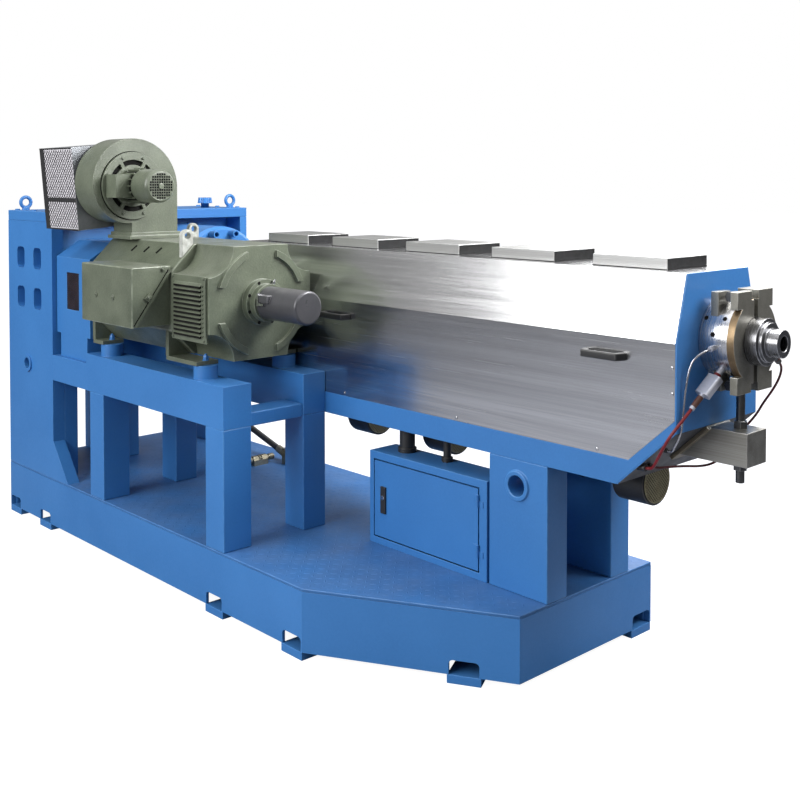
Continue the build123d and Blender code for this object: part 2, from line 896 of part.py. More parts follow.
panel_end = hood_end - end_plate
tray_tip = hood_end - tray_tip_run
tray_bend_level = tray_bottom + tray_bend_rise
panel_cut_level = tray_bend_level + panel_cut_rise
panel_cut_station = hood_end - panel_cut_run


def hood_side(side):
    """Folded panel of one flank: upright below the barrel axis and leaning in above it."""
    wall = across(side * hood_half_width)
    inner_wall = across(side * (hood_half_width - panel_sheet))
    eave = across(side * hood_top_half)
    inner_eave = across(side * (hood_top_half - panel_sheet))
    return [
        (wall, panel_bottom),
        (wall, centre_height),
        (eave, hood_top_level),
        (inner_eave, hood_top_level),
        (inner_wall, centre_height),
        (inner_wall, panel_bottom),
    ]


def hood_panel(side):
    """One flank of the hood, with its lower corner cut off at the die end."""
    with BuildPart() as panel:
        prism_along(hood_side(side), along(hood_start), along(panel_end))
        prism_across(
            [
                (along(panel_cut_station), panel_bottom),
                (along(hood_end), panel_bottom),
                (along(hood_end), panel_cut_level),
            ],
            across(-hood_half_width),
            across(hood_half_width),
            Mode.SUBTRACT,
        )
    return panel


hood_front_panel = hood_panel(-1)
keep(hood_front_panel, "hood_front_panel")
hood_rear_panel = hood_panel(1)
keep(hood_rear_panel, "hood_rear_panel")

with BuildPart() as hood_top:
    slab(
        (along(hood_start), along(panel_end)),
        (across(-hood_top_half + panel_sheet), across(hood_top_half - panel_sheet)),
        (hood_top_level - panel_sheet, hood_top_level),
    )
keep(hood_top, "hood_top")

cap_length = 266
cap_width = 214
cap_rise = 35
cap_sheet = 3
with BuildPart() as vent_caps:
    for station in zone_stations:
        limits = (along(station - cap_length / 2), along(station + cap_length / 2))
        cap_y_limits = (across(-cap_width / 2), across(cap_width / 2))
        slab(limits, cap_y_limits, (hood_top_level, hood_top_level + cap_rise))
        slab(
            limits,
            (cap_y_limits[0] + cap_sheet, cap_y_limits[1] - cap_sheet),
            (hood_top_level, hood_top_level + cap_rise - cap_sheet),
            Mode.SUBTRACT,
        )
keep(vent_caps, "vent_caps")

handle_insets = (680, 242)  # from the two ends of the hood
handle_drop = 55
handle_length = 155
handle_stand = 38
handle_bar = 14
handle_height = 22
handle_root = 21            # from the handle's end to its finger gap
handle_stations = (hood_start + handle_insets[0], hood_end - handle_insets[1])
handle_bottom = centre_height - handle_drop - handle_height / 2
handle_foot = handle_length / 2
finger_foot = handle_foot - handle_root
finger_top = finger_foot - handle_bar / 2
finger_stand = handle_stand - handle_bar


def bow(station, wall, foot, top, stand):
    """A bow that stands off the hood's wall, from half its length at the foot and at the top."""
    return [
        (along(station - foot), wall),
        (along(station - top), wall + stand),
        (along(station + top), wall + stand),
        (along(station + foot), wall),
    ]


with BuildPart() as hood_handles:
    for side in (-1, 1):
        wall = across(side * hood_half_width)
        for station in handle_stations:
            with BuildSketch(Plane.XY.offset(handle_bottom)):
                bar = bow(station, wall, handle_foot, handle_foot - handle_bar, side * handle_stand)
                gap = bow(station, wall, finger_foot, finger_top, side * finger_stand)
                Polygon(*bar, align=None)
                Polygon(*gap, align=None, mode=Mode.SUBTRACT)
            extrude(amount=handle_height)
keep(hood_handles, "hood_handles")

# Painted tray under the hood: two side strips and the folded plate that closes the die end
with BuildPart() as tray_sides:
    for side in (-1, 1):
        outer = across(side * hood_half_width)
        inner = across(side * (hood_half_width - tray_plate))
        prism_across(
            [
                (along(hood_start), tray_bottom),
                (along(tray_tip), tray_bottom),
                (along(panel_end), tray_bend_level),
                (along(panel_end), panel_cut_level - (hood_end - panel_end)),
                (along(panel_cut_station), panel_bottom),
                (along(hood_start), panel_bottom),
            ],
            min(outer, inner),
            max(outer, inner),
        )
keep(tray_sides, "tray_sides")

with BuildPart() as hood_end_plate:
    prism_along(
        [
            (across(-hood_half_width), tray_bend_level),
            (across(-hood_half_width), centre_height),
            (across(-hood_top_half), hood_top_level),
            (across(hood_top_half), hood_top_level),
            (across(hood_half_width), centre_height),
            (across(hood_half_width), tray_bend_level),
        ],
        along(panel_end),
        along(hood_end),
    )
    prism_across(
        [
            (along(tray_tip), tray_bottom),
            (along(panel_end), tray_bend_level),
            (along(hood_end), tray_bend_level),
            (along(tray_tip + end_plate), tray_bottom),
        ],
        across(-hood_half_width),
        across(hood_half_width),
    )
    rod_along(
        across(0), centre_height, barrel_radius + seat_gap, along(panel_end), along(hood_end), Mode.SUBTRACT
    )
keep(hood_end_plate, "hood_end_plate")

# Plate that closes the hood beside the feed throat
with BuildPart() as hood_feed_plate:
    prism_along(
        [
            (across(-hood_half_width + panel_sheet), panel_bottom),
            (across(-hood_half_width + panel_sheet), centre_height),
            (across(-hood_top_half + panel_sheet), hood_top_level - panel_sheet),
            (across(hood_top_half - panel_sheet), hood_top_level - panel_sheet),
            (across(hood_half_width - panel_sheet), centre_height),
            (across(hood_half_width - panel_sheet), panel_bottom),
        ],
        along(hood_start),
        along(hood_start + end_plate),
    )
    rod_along(
        across(0),
        centre_height,
        barrel_radius + seat_gap,
        along(hood_start),
        along(hood_start + end_plate),
        Mode.SUBTRACT,
    )
keep(hood_feed_plate, "hood_feed_plate")

# Cooling fans hung under the barrel's heater zones
fan_radius = 74
fan_span = (-82, 30)        # ends of a fan before and past the middle of its zone
fan_drop = 467
duct_width = 96
duct_span = (-72, 22)       # ends of its duct before and past the middle of the zone

fan_level = centre_height - fan_drop
with BuildPart() as cooling_fans:
    for station in zone_stations:
        fan_ends = [along(station + end) for end in fan_span]
        rod_along(across(0), fan_level, fan_radius, *fan_ends)
        slab(
            (along(station + duct_span[0]), along(station + duct_span[1])),
            (across(-duct_width / 2), across(duct_width / 2)),
            (fan_level, centre_height - heater_radius - seat_gap),
        )
keep(cooling_fans, "cooling_fans")

# Pillar under the die end: two box legs with a lifting bore, and the saddle that carries the barrel
pillar_length = 242
pillar_leg = 100
pillar_rear = 214
lift_bore = 33
lift_collar = 48
lift_collar_stand = 9
lift_drop = 83              # under the tray

lift_level = tray_bottom - lift_drop
pillar_start = base_length - pillar_length
pillar_x = (along(pillar_start), along(base_length))
lift_station = pillar_start + pillar_length / 2
pillar_front_y = across(-hood_half_width)
pillar_rear_y = across(pillar_rear)
with BuildPart() as pillar_legs:
    slab(pillar_x, (pillar_front_y, pillar_front_y + pillar_leg), (deck_height, tray_bottom))
    slab(pillar_x, (pillar_rear_y - pillar_leg, pillar_rear_y), (deck_height, tray_bottom))
    collar_face = pillar_front_y - lift_collar_stand
    rod_across(along(lift_station), lift_level, lift_collar, collar_face, pillar_front_y)
    rod_across(along(lift_station), lift_level, lift_bore, collar_face, pillar_rear_y, Mode.SUBTRACT)
keep(pillar_legs, "pillar_legs")

saddle_x = (along(base_length - saddle_length), along(base_length))
saddle_half = hood_half_width - tray_plate
with BuildPart() as barrel_saddle:
    saddle_top = centre_height - barrel_radius / 2
    slab(saddle_x, (across(-saddle_half), across(saddle_half)), (tray_bottom, saddle_top))
    rod_along(across(0), centre_height, barrel_radius + seat_gap, *saddle_x, Mode.SUBTRACT)
keep(barrel_saddle, "barrel_saddle")

# Control box beside the pillar: a hollow sheet box, its front frame and a hinged door
control_gap = 10            # to the pillar
control_length = 574
control_headroom = 97       # under the tray
control_fan_gap = 14        # to the cooling fans behind it
control_sheet = 4
door_side_margins = (21, 34)
door_end_margins = (24, 27)
door_gap = 5
door_depth = 18
hinge_shares = (0.26, 0.845)
hinge_knuckle = 5.5
hinge_pin = 3
hinge_clearance = 0.06
knuckle_height = 20
knuckle_gap = 0.5
leaf_width = 22
leaf_sheet = 2.5
lock_inset = 55
lock_length = 97
lock_width = 26
lock_stand = 7

control_front = pillar_front_y
control_depth = hood_half_width - fan_radius - control_fan_gap
control_end = pillar_x[0] - control_gap
control_x = (control_end - control_length, control_end)
control_y = (control_front, control_front + control_depth)
control_z = (deck_height, tray_bottom - control_headroom)
door_x = (control_x[0] + door_side_margins[0], control_x[1] - door_side_margins[1])
door_levels = (control_z[0] + door_end_margins[0], control_z[1] - door_end_margins[1])
hinge_levels = [door_levels[0] + share * (door_levels[1] - door_levels[0]) for share in hinge_shares]
lock_x = door_x[0] + lock_inset
lock_middle = sum(door_levels) / 2
frame_back = control_front + control_sheet
with BuildPart() as control_box:
    slab(control_x, (frame_back, control_y[1]), control_z)
    slab(
        (control_x[0] + control_sheet, control_x[1] - control_sheet),
        (frame_back, control_y[1] - control_sheet),
        (control_z[0] + control_sheet, control_z[1] - control_sheet),
        Mode.SUBTRACT,
    )
keep(control_box, "control_box")

with BuildPart() as control_box_frame:
    slab(control_x, (control_front, frame_back), control_z)
    slab(door_x, (control_front, frame_back), door_levels, Mode.SUBTRACT)
keep(control_box_frame, "control_box_frame")

hinge_x = door_x[1] - door_gap / 2
hinge_y = control_front - hinge_knuckle
with BuildPart() as control_box_door:
    slab(
        (door_x[0] + door_gap, door_x[1] - door_gap),
        (control_front, control_front + door_depth),
        (door_levels[0] + door_gap, door_levels[1] - door_gap),
    )
    for level in hinge_levels:
        knuckle_ends = (level + knuckle_gap, level + knuckle_height)
        rod_up(hinge_x, hinge_y, hinge_knuckle, *knuckle_ends)
        slab((hinge_x - leaf_width, hinge_x), (control_front - leaf_sheet, control_front), knuckle_ends)
        rod_up(hinge_x, hinge_y, hinge_pin + hinge_clearance, *knuckle_ends, Mode.SUBTRACT)
keep(control_box_door, "control_box_door")

with BuildPart() as door_hinges:
    for level in hinge_levels:
        rod_up(hinge_x, hinge_y, hinge_knuckle, level - knuckle_height, level)
        rod_up(hinge_x, hinge_y, hinge_pin, level, level + knuckle_height)
        slab(
            (hinge_x, hinge_x + leaf_width),
            (control_front - leaf_sheet, control_front),
            (level - knuckle_height, level),
        )
keep(door_hinges, "door_hinges")

with BuildPart() as door_lock:
    slab(
        (lock_x - lock_width / 2, lock_x + lock_width / 2),
        (control_front - lock_stand, control_front),
        (lock_middle - lock_length / 2, lock_middle + lock_length / 2),
    )
    fillet(door_lock.faces().sort_by(Axis.Y)[0].edges(), lock_stand / 3)
keep(door_lock, "door_lock")

conduits = ((111, 83, 28), (308, 88, 14))   # place along and behind the box's front corner, radius
gland_height = 16
gland_wall = 6
with BuildPart() as box_glands:
    for inset, depth, radius in conduits:
        place = (control_x[0] + inset, control_front + depth)
        rod_up(*place, radius + gland_wall, control_z[1], control_z[1] + gland_height)
        rod_up(*place, radius, control_z[1], panel_bottom)

# Die end: a turned collar on the barrel, a split clamp with its bolts and the nozzle
collar_outer = 112
collar_ear_station = 26
ear_thickness = 24
ear_front = (-114, -23)
lower_ear_front = -70       # the collar's lower ear leaves room for the sensor
ear_edge = 18               # from the clamp bolts to the ends of the ears
clamp_outer = 120
nozzle_radius = 68
step_radius = 56
neck_radius = 40
melt_bore = 22
split_gap = 20
rear_ear = (14, 93)
rear_ear_thickness = 66
clamp_bolt_radius = 9
clamp_nut_radius = 16
clamp_nut = (-66, -26)
clamp_bolt_rear = 140

die_y = across(0)
clamp_end = clamp_start + clamp_length
bolt_station = (hood_end + collar_ear_station + ear_thickness + clamp_start) / 2
bolt_rise = collar_outer + clamp_nut_radius * math.cos(math.pi / 6) + seat_gap
ear_half_height = bolt_rise + ear_edge
ear_root = (nozzle_radius + clamp_outer) / 2
with BuildPart() as die_collar:
    rod_along(die_y, centre_height, collar_outer, along(hood_end), along(clamp_start))
    ear_x = (along(hood_end + collar_ear_station), along(hood_end + collar_ear_station + ear_thickness))
    for side, ear_edge_front in ((-1, lower_ear_front), (1, ear_front[0])):
        reach = sorted((centre_height, centre_height + side * ear_half_height))
        slab(ear_x, (across(ear_edge_front), across(ear_front[1])), reach)
keep(die_collar, "die_collar")


def clamp_half(ring_side):
    """Half of the clamp ring on one side of the upright split, drawn on its rear face."""
    with BuildSketch(facing_die(along(clamp_start))) as ring:
        with Locations((die_y, centre_height)):
            Circle(clamp_outer)
            Circle(nozzle_radius + seat_gap, mode=Mode.SUBTRACT)
            with Locations((-ring_side * (clamp_outer - split_gap / 2), 0)):
                Rectangle(2 * clamp_outer, 3 * clamp_outer, mode=Mode.SUBTRACT)
    return ring.sketch


with BuildPart() as clamp_front_jaw:
    extrude(clamp_half(-1), amount=clamp_length)
    for side in (-1, 1):
        root = centre_height + side * ear_root
        slab(
            (along(clamp_start), along(clamp_end)),
            (across(ear_front[0]), across(ear_front[1])),
            sorted((root, centre_height + side * ear_half_height)),
        )
keep(clamp_front_jaw, "clamp_front_jaw")

with BuildPart() as clamp_rear_jaw:
    extrude(clamp_half(1), amount=clamp_length)
    for side in (-1, 1):
        root = centre_height + side * ear_root
        slab(
            (along(clamp_start), along(clamp_end)),
            (across(rear_ear[0]), across(rear_ear[1])),
            sorted((root, centre_height + side * ear_half_height)),
        )
        slab(
            (along(clamp_end - rear_ear_thickness), along(clamp_start)),
            (across(rear_ear[0]), across(rear_ear[1])),
            sorted(centre_height + side * reach for reach in (collar_outer + seat_gap, ear_half_height)),
        )
        rod_across(
            along(bolt_station),
            centre_height + side * bolt_rise,
            clamp_bolt_radius + seat_gap,
            across(rear_ear[0]),
            across(rear_ear[1]),
            Mode.SUBTRACT,
        )
keep(clamp_rear_jaw, "clamp_rear_jaw")

with BuildPart() as nozzle:
    with BuildSketch(Plane(origin=(0, die_y, centre_height), x_dir=(1, 0, 0), z_dir=(0, -1, 0))):
        body_end = clamp_end + nozzle_body_length
        step_end = body_end + nozzle_step_length
        Polygon(
            (along(clamp_start), melt_bore),
            (along(clamp_start), nozzle_radius),
            (along(body_end), nozzle_radius),
            (along(body_end), step_radius),
            (along(step_end), step_radius),
            (along(step_end), neck_radius),
            (along(nozzle_tip), neck_radius),
            (along(nozzle_tip), melt_bore),
            align=None,
        )
    revolve(axis=Axis((0, die_y, centre_height), (1, 0, 0)))
keep(nozzle, "nozzle")

# Bracket at the die end: a square tube on a flange, with the screw that props the clamp
bracket_half_width = 53
bracket_lift = 78           # over the tray's underside
bracket_height = 98
bracket_reach = 124
flange_thickness = 12
flange_margin = 10
screw_radius = 12.5
screw_tail = 59             # under the bracket
nut_radius = 21
nut_height = 22

bracket_levels = (tray_bottom + bracket_lift, tray_bottom + bracket_lift + bracket_height)
screw_bottom = bracket_levels[0] - screw_tail
slope_run = (panel_end - tray_tip) / (tray_bend_level - tray_bottom)


def slope_station(level):
    """Station of the tray's slanting end at a level."""
    return tray_tip + end_plate + (level - tray_bottom) * slope_run


slope_plane = Plane(
    origin=(along(slope_station(tray_bottom)), die_y, tray_bottom), x_dir=(0, 1, 0), z_dir=(1, 0, -slope_run)
)
slope_stretch = math.hypot(1, slope_run)    # length along the slope for each unit of height
prop_station = bolt_station
bracket_end = hood_end + bracket_reach
with BuildPart() as bracket:
    prism_across(
        [
            (along(slope_station(bracket_levels[0])), bracket_levels[0]),
            (along(bracket_end), bracket_levels[0]),
            (along(bracket_end), bracket_levels[1]),
            (along(slope_station(bracket_levels[1])), bracket_levels[1]),
        ],
        across(-bracket_half_width),
        across(bracket_half_width),
    )
    with BuildSketch(slope_plane):
        flange_reach = [slope_stretch * rise for rise in (bracket_lift - flange_margin, tray_bend_rise)]
        with Locations((0, sum(flange_reach) / 2)):
            Rectangle(2 * (bracket_half_width + flange_margin), flange_reach[1] - flange_reach[0])
    extrude(amount=flange_thickness)
    rod_up(along(prop_station), die_y, screw_radius + seat_gap, *bracket_levels, Mode.SUBTRACT)
keep(bracket, "bracket")

screw_top = centre_height - bolt_rise - clamp_bolt_radius - seat_gap
with BuildPart() as prop_screw:
    rod_up(along(prop_station), die_y, screw_radius, screw_bottom, screw_top)
    for bottom, top in (
        (bracket_levels[1], bracket_levels[1] + nut_height),
        (bracket_levels[0] - nut_height, bracket_levels[0]),
    ):
        with BuildSketch(Plane.XY.offset(bottom)):
            with Locations((along(prop_station), die_y)):
                RegularPolygon(nut_radius, 6)
        extrude(amount=top - bottom)
keep(prop_screw, "prop_screw")

with BuildPart() as clamp_bolts:
    for side in (-1, 1):
        level = centre_height + side * bolt_rise
        bolt_ends = (across(clamp_nut[0]), across(clamp_bolt_rear))
        rod_across(along(bolt_station), level, clamp_bolt_radius, *bolt_ends)
        with BuildSketch(facing_front(across(clamp_nut[1]))):
            with Locations((along(bolt_station), level)):
                RegularPolygon(clamp_nut_radius, 6)
        extrude(amount=clamp_nut[1] - clamp_nut[0])
keep(clamp_bolts, "clamp_bolts")

# Cable entries: short bushings along the barrel's direction through the tray's slanting end
entry_offsets = (-197, -164, -185)
entry_lifts = (61, 58, 120)
entry_radii = (11, 9, 7)
entry_stands = (18, 18, 15)

with BuildPart() as tray_glands:
    for offset_y, lift, radius, stand in zip(entry_offsets, entry_lifts, entry_radii, entry_stands):
        level = tray_bottom + lift
        entry_ends = (along(slope_station(level - 2 * radius)), along(slope_station(level) + stand))
        rod_along(across(offset_y), level, radius, *entry_ends)
    with BuildSketch(slope_plane):
        Rectangle(2 * hood_half_width, 2 * slope_stretch * tray_bend_rise)
    extrude(amount=-4 * max(entry_radii), mode=Mode.SUBTRACT)
with BuildPart() as cable_glands:
    add(box_glands.part)
    add(tray_glands.part)
keep(cable_glands, "cable_glands")

# Melt sensor and heater plug: radial fittings on the collar and the nozzle, with their cable sleeves
sensor_inset = 58           # from the hood's end plate
sensor_angle = 45           # towards the front, from straight down
sensor_tilt = 12.8          # leaning back towards the hood
fitting_radius = 9
fitting_sink = 6
fitting_length = 30
block_width = 45
block_thickness = 25
block_corner = 7
block_length = 67
sleeve_radius = 8
sleeve_length = 53
plug_inset = 18             # from the clamp, along the nozzle
plug_angle = 55             # towards the rear, from straight down
plug_radius = 9
plug_length = 50
union_inset = 48            # pressure pipe's nut, from the hood's end plate
union_angle = 81.65         # towards the front, from straight down
union_radius = 8
union_length = 16


def radial_plane(station, radius, angle, tilt):
    """Plane on a round face at the die end, facing outwards at an angle from straight down."""
    turn, lean = math.radians(angle), math.radians(tilt)
    out_y, out_z = math.sin(turn), -math.cos(turn)
    origin = (along(station), die_y + radius * out_y, centre_height + radius * out_z)
    outward = (-math.sin(lean), math.cos(lean) * out_y, math.cos(lean) * out_z)
    return Plane(origin=origin, x_dir=(math.cos(lean), 0, 0), z_dir=outward)


sensor_plane = radial_plane(hood_end + sensor_inset, collar_outer, -sensor_angle, sensor_tilt)
plug_plane = radial_plane(clamp_end + plug_inset, nozzle_radius, plug_angle, 0)
union_plane = radial_plane(hood_end + union_inset, collar_outer + seat_gap, -union_angle, 0)
with BuildPart() as cable_plugs:
    with BuildSketch(sensor_plane.offset(-fitting_sink)):
        Circle(fitting_radius)
    extrude(amount=fitting_sink + fitting_length)
    with BuildSketch(sensor_plane.offset(fitting_length)):
        RectangleRounded(block_width, block_thickness, block_corner)
    extrude(amount=block_length)
    with BuildSketch(sensor_plane.offset(fitting_length + block_length)):
        Circle(sleeve_radius)
    extrude(amount=sleeve_length)
    with BuildSketch(plug_plane.offset(-fitting_sink)):
        Circle(plug_radius)
    extrude(amount=fitting_sink + plug_length)
    with BuildSketch(union_plane):
        RegularPolygon(union_radius, 6)
    extrude(amount=union_length)
    for radius, start, end in ((collar_outer, hood_end, clamp_start), (nozzle_radius, clamp_end, nozzle_tip)):
        rod_along(die_y, centre_height, radius + seat_gap, along(start), along(end), Mode.SUBTRACT)
keep(cable_plugs, "cable_plugs")

# Cables and the thin pressure pipe at the die end, as (station, offset, height) along each route
sensor_cable_diameter = 9
heater_cable_diameter = 7
pressure_pipe_diameter = 6
sensor_route = [
    (3316.75, -182.65, 917.35),
    (3309.7, -204.7, 895.3),
    (3301, -227, 871),
    (3287, -241, 845),
    (3269, -240, 816),
    (3249, -230, 788),
    (3230, -218, 763),
    (3212, -206, 741),
    (3197, -197, 729),
    (3180, -197, 729),
]
heater_route = [
    (3428, 96.75, 1032.25),
    (3428, 112, 1021.6),
    (3424, 121, 1000),
    (3413, 122, 970),
    (3394, 119, 936),
    (3372, 114, 902),
    (3356, 109, 870),
    (3336, 105, 842),
    (3313, 99, 814),
    (3295, 88, 784),
    (3283, 68, 753),
    (3274, 41, 729),
    (3263, 6, 718),
    (3248, -32, 717),
    (3231, -68, 721),
    (3218, -104, 724),
    (3210, -136, 726),
    (3197, -164, 726),
    (3177, -164, 726),
]
pressure_bends = [              # ahead of the hood's end plate, offset, under the barrel axis
    (48, -127, 18.6),
    (48, -145, 21.25),
    (39, -163, 29),
    (25, -176, 46),
    (17, -183, 74),
    (12, -189, 115),
    (8.5, -193, 165),
    (6.5, -197, 208),
    (7.5, -203, 242),
    (-4, -203, 273),
    (-21, -196, 296),
    (-34, -185, 312),
    (-50.5, -185, 312),
]
pressure_route = [(hood_end + ahead, side, centre_height - drop) for ahead, side, drop in pressure_bends]


def bend_radii(points):
    """Radius of the arc at each corner of a route, as large as its two runs allow."""
    corners = [Vector(*point) for point in points]
    runs = [end - start for start, end in zip(corners, corners[1:])]
    radii = []
    for before, after in zip(runs, runs[1:]):
        half_turn = math.radians(before.get_angle(after) / 2)
        radii.append(0.45 * min(before.length, after.length) / math.tan(half_turn))
    return radii


def tube(route, diameter, name):
    """A round tube along a route of straight runs and tangent arcs."""
    points = [(along(station), across(offset_y), level) for station, offset_y, level in route]
    radii = bend_radii(points)
    with BuildPart() as run:
        with BuildLine():
            path = FilletPolyline(*points, radius=radii)
        with BuildSketch(Plane(origin=path @ 0, z_dir=path % 0)):
            Circle(diameter / 2)
        sweep()
    filled = run.part.volume / (math.pi * diameter**2 / 4 * path.length)
    print(name, "length", round(path.length, 1), "radii", [round(radius) for radius in radii])
    print(name, "volume over section times length", round(filled, 4))
    return run


sensor_cable = tube(sensor_route, sensor_cable_diameter, "sensor_cable")
keep(sensor_cable, "sensor_cable")
heater_cable = tube(heater_route, heater_cable_diameter, "heater_cable")
keep(heater_cable, "heater_cable")
pressure_pipe = tube(pressure_route, pressure_pipe_diameter, "pressure_pipe")
keep(pressure_pipe, "pressure_pipe")

# Oil line on the deck: a hose from the gearbox's rear leg down to a manifold, and a drain valve
hose_diameter = 28
hose_offset = 230
hose_fall = 15.4            # slope of the hose at the manifold, in degrees
hose_tail_radius = 18
outlet_rise = 175           # over the deck
outlet_length = 44
manifold_station = 930
manifold_width = 70
manifold_height = 73
manifold_tail_rise = 31     # over the deck, where the tail leaves the manifold
manifold_tail_length = 75
drain_station = 865
drain_front = 45
drain_radius = 12
drain_rise = 25             # over the deck
drain_block_width = 40
drain_nut_radius = 19
drain_rings = ((0, 22, 16), (62, 70, 17), (120, 145, 15))
drain_nuts = ((28, 56), (76, 106))
oil_route = [
    (857.4, 230, 288),
    (780, 230, 309.3),
    (700, 230, 332),
    (629, 230, 352.5),
    (560, 230, 373),
    (500, 230, 391),
    (450, 230, 404.5),
    (410, 230, 412),
    (372.3, 230, 412),
]

tail_fall = math.radians(hose_fall)
tail_out = (-math.cos(tail_fall), 0, math.sin(tail_fall))
tail_root = (along(manifold_station), across(hose_offset), deck_height + manifold_tail_rise)
with BuildPart() as oil_fittings:
    slab(
        (along(manifold_station), along(manifold_station + manifold_width)),
        (across(hose_offset - manifold_width / 2), across(hose_offset + manifold_width / 2)),
        (deck_height, deck_height + manifold_height),
    )
    with BuildSketch(Plane(origin=tail_root, z_dir=tail_out).offset(-hose_tail_radius)):
        Circle(hose_tail_radius)
    extrude(amount=hose_tail_radius + manifold_tail_length)
    outlet_x = along(case_length)
    rod_along(
        across(hose_offset), deck_height + outlet_rise, hose_tail_radius, outlet_x, outlet_x + outlet_length
    )
    drain_x = along(drain_station)
    drain_level = deck_height + drain_rise
    drain_length = drain_rings[-1][1]
    rod_across(drain_x, drain_level, drain_radius, across(drain_front), across(drain_front + drain_length))
    for start, end, radius in drain_rings:
        rod_across(drain_x, drain_level, radius, across(drain_front + start), across(drain_front + end))
    for start, end in drain_nuts:
        with BuildSketch(facing_front(across(drain_front + end))):
            with Locations((drain_x, drain_level)):
                RegularPolygon(drain_nut_radius, 6)
        extrude(amount=end - start)
    slab(
        (drain_x - drain_block_width / 2, drain_x + drain_block_width / 2),
        (across(drain_front + drain_nuts[0][0]), across(drain_front + drain_nuts[1][1])),
        (deck_height, drain_level),
    )
keep(oil_fittings, "oil_fittings")

oil_hose = tube(oil_route, hose_diameter, "oil_hose")
keep(oil_hose, "oil_hose")
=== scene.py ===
import math

import bmesh
import bpy
from mathutils import Matrix, Vector


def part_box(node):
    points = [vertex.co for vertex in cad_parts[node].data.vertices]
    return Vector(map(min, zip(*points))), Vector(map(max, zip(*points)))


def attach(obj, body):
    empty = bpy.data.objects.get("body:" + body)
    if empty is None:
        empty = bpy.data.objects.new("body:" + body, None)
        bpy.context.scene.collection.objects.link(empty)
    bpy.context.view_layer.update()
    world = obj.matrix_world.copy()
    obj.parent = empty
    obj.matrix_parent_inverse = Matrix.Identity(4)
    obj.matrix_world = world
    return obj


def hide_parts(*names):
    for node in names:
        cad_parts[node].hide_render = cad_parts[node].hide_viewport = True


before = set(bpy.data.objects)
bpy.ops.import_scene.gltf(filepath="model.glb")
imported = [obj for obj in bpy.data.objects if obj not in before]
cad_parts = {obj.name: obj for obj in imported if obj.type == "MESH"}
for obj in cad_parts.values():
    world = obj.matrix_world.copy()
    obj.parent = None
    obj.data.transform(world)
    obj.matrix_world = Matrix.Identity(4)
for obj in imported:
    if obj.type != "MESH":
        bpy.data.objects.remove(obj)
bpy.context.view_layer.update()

# Studio: a pale floor under a soft surround, with a broad key lamp in front on the gearbox side,
# a soft box overhead, a fill lamp behind and two small ones over the nozzle and the motor.
# The camera is at eye height.
base_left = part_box("base_deck")[0].x
nozzle_low, nozzle_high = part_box("nozzle")
axis_y = (nozzle_low.y + nozzle_high.y) / 2
axis_z = (nozzle_low.z + nozzle_high.z) / 2


def spot(along, across, up):
    """A point from its distance along the base, across from the barrel axis and up from the floor."""
    return Vector((base_left + along, axis_y + across, up))


def show(name, data):
    """A new object in the scene."""
    thing = bpy.data.objects.new(name, data)
    bpy.context.scene.collection.objects.link(thing)
    return thing


def join(start, output, end, entry):
    """Link an output of one shader node to an input of another."""
    start.id_data.links.new(start.outputs[output], end.inputs[entry])


def ramp(tree, low, high, start=0.0, end=1.0):
    """A node that spreads a value between two limits over a new range."""
    node = tree.nodes.new("ShaderNodeMapRange")
    node.inputs["From Min"].default_value = low
    node.inputs["From Max"].default_value = high
    node.inputs["To Min"].default_value = start
    node.inputs["To Max"].default_value = end
    return node


def finish(name, shade, gloss=0.5, metal=0.0):
    """A new material with its main shader's plain colour, roughness and metal, and that shader."""
    material = bpy.data.materials.new(name)
    material.use_nodes = True
    shader = material.node_tree.nodes["Principled BSDF"]
    shader.inputs["Base Color"].default_value = (*shade, 1)
    shader.inputs["Roughness"].default_value = gloss
    shader.inputs["Metallic"].default_value = metal
    return material, shader


camera_data = bpy.data.cameras.new("eye")
camera_data.lens = 49.32
camera_data.sensor_width = 36
camera_data.shift_y = -0.24175
camera = show("eye", camera_data)
camera.location = spot(4.9752, -2.8472, 1.567)
camera_pitch = math.radians(1.61)
camera_yaw = math.radians(46.86)
camera.rotation_euler = (math.pi / 2 - camera_pitch, 0, camera_yaw)
bpy.context.scene.camera = camera
bpy.context.scene.view_settings.view_transform = "Standard"

surround = bpy.data.worlds.new("soft surround")
bpy.context.scene.world = surround
surround.use_nodes = True
sky_tree = surround.node_tree
sky = sky_tree.nodes["Background"]
sky.inputs["Color"].default_value = (1, 1, 1, 1)
sky_way = sky_tree.nodes.new("ShaderNodeTexCoord")
sky_parts = sky_tree.nodes.new("ShaderNodeSeparateXYZ")
sky_rise = ramp(sky_tree, 0.0, 0.8, 0.16, 0.50)
sky_seen = sky_tree.nodes.new("ShaderNodeLightPath")
sky_pick = sky_tree.nodes.new("ShaderNodeMix")
sky_pick.inputs["B"].default_value = 1.0
join(sky_way, "Generated", sky_parts, "Vector")
join(sky_parts, "Z", sky_rise, "Value")
join(sky_rise, "Result", sky_pick, "A")
join(sky_seen, "Is Camera Ray", sky_pick, "Factor")
join(sky_pick, "Result", sky, "Strength")

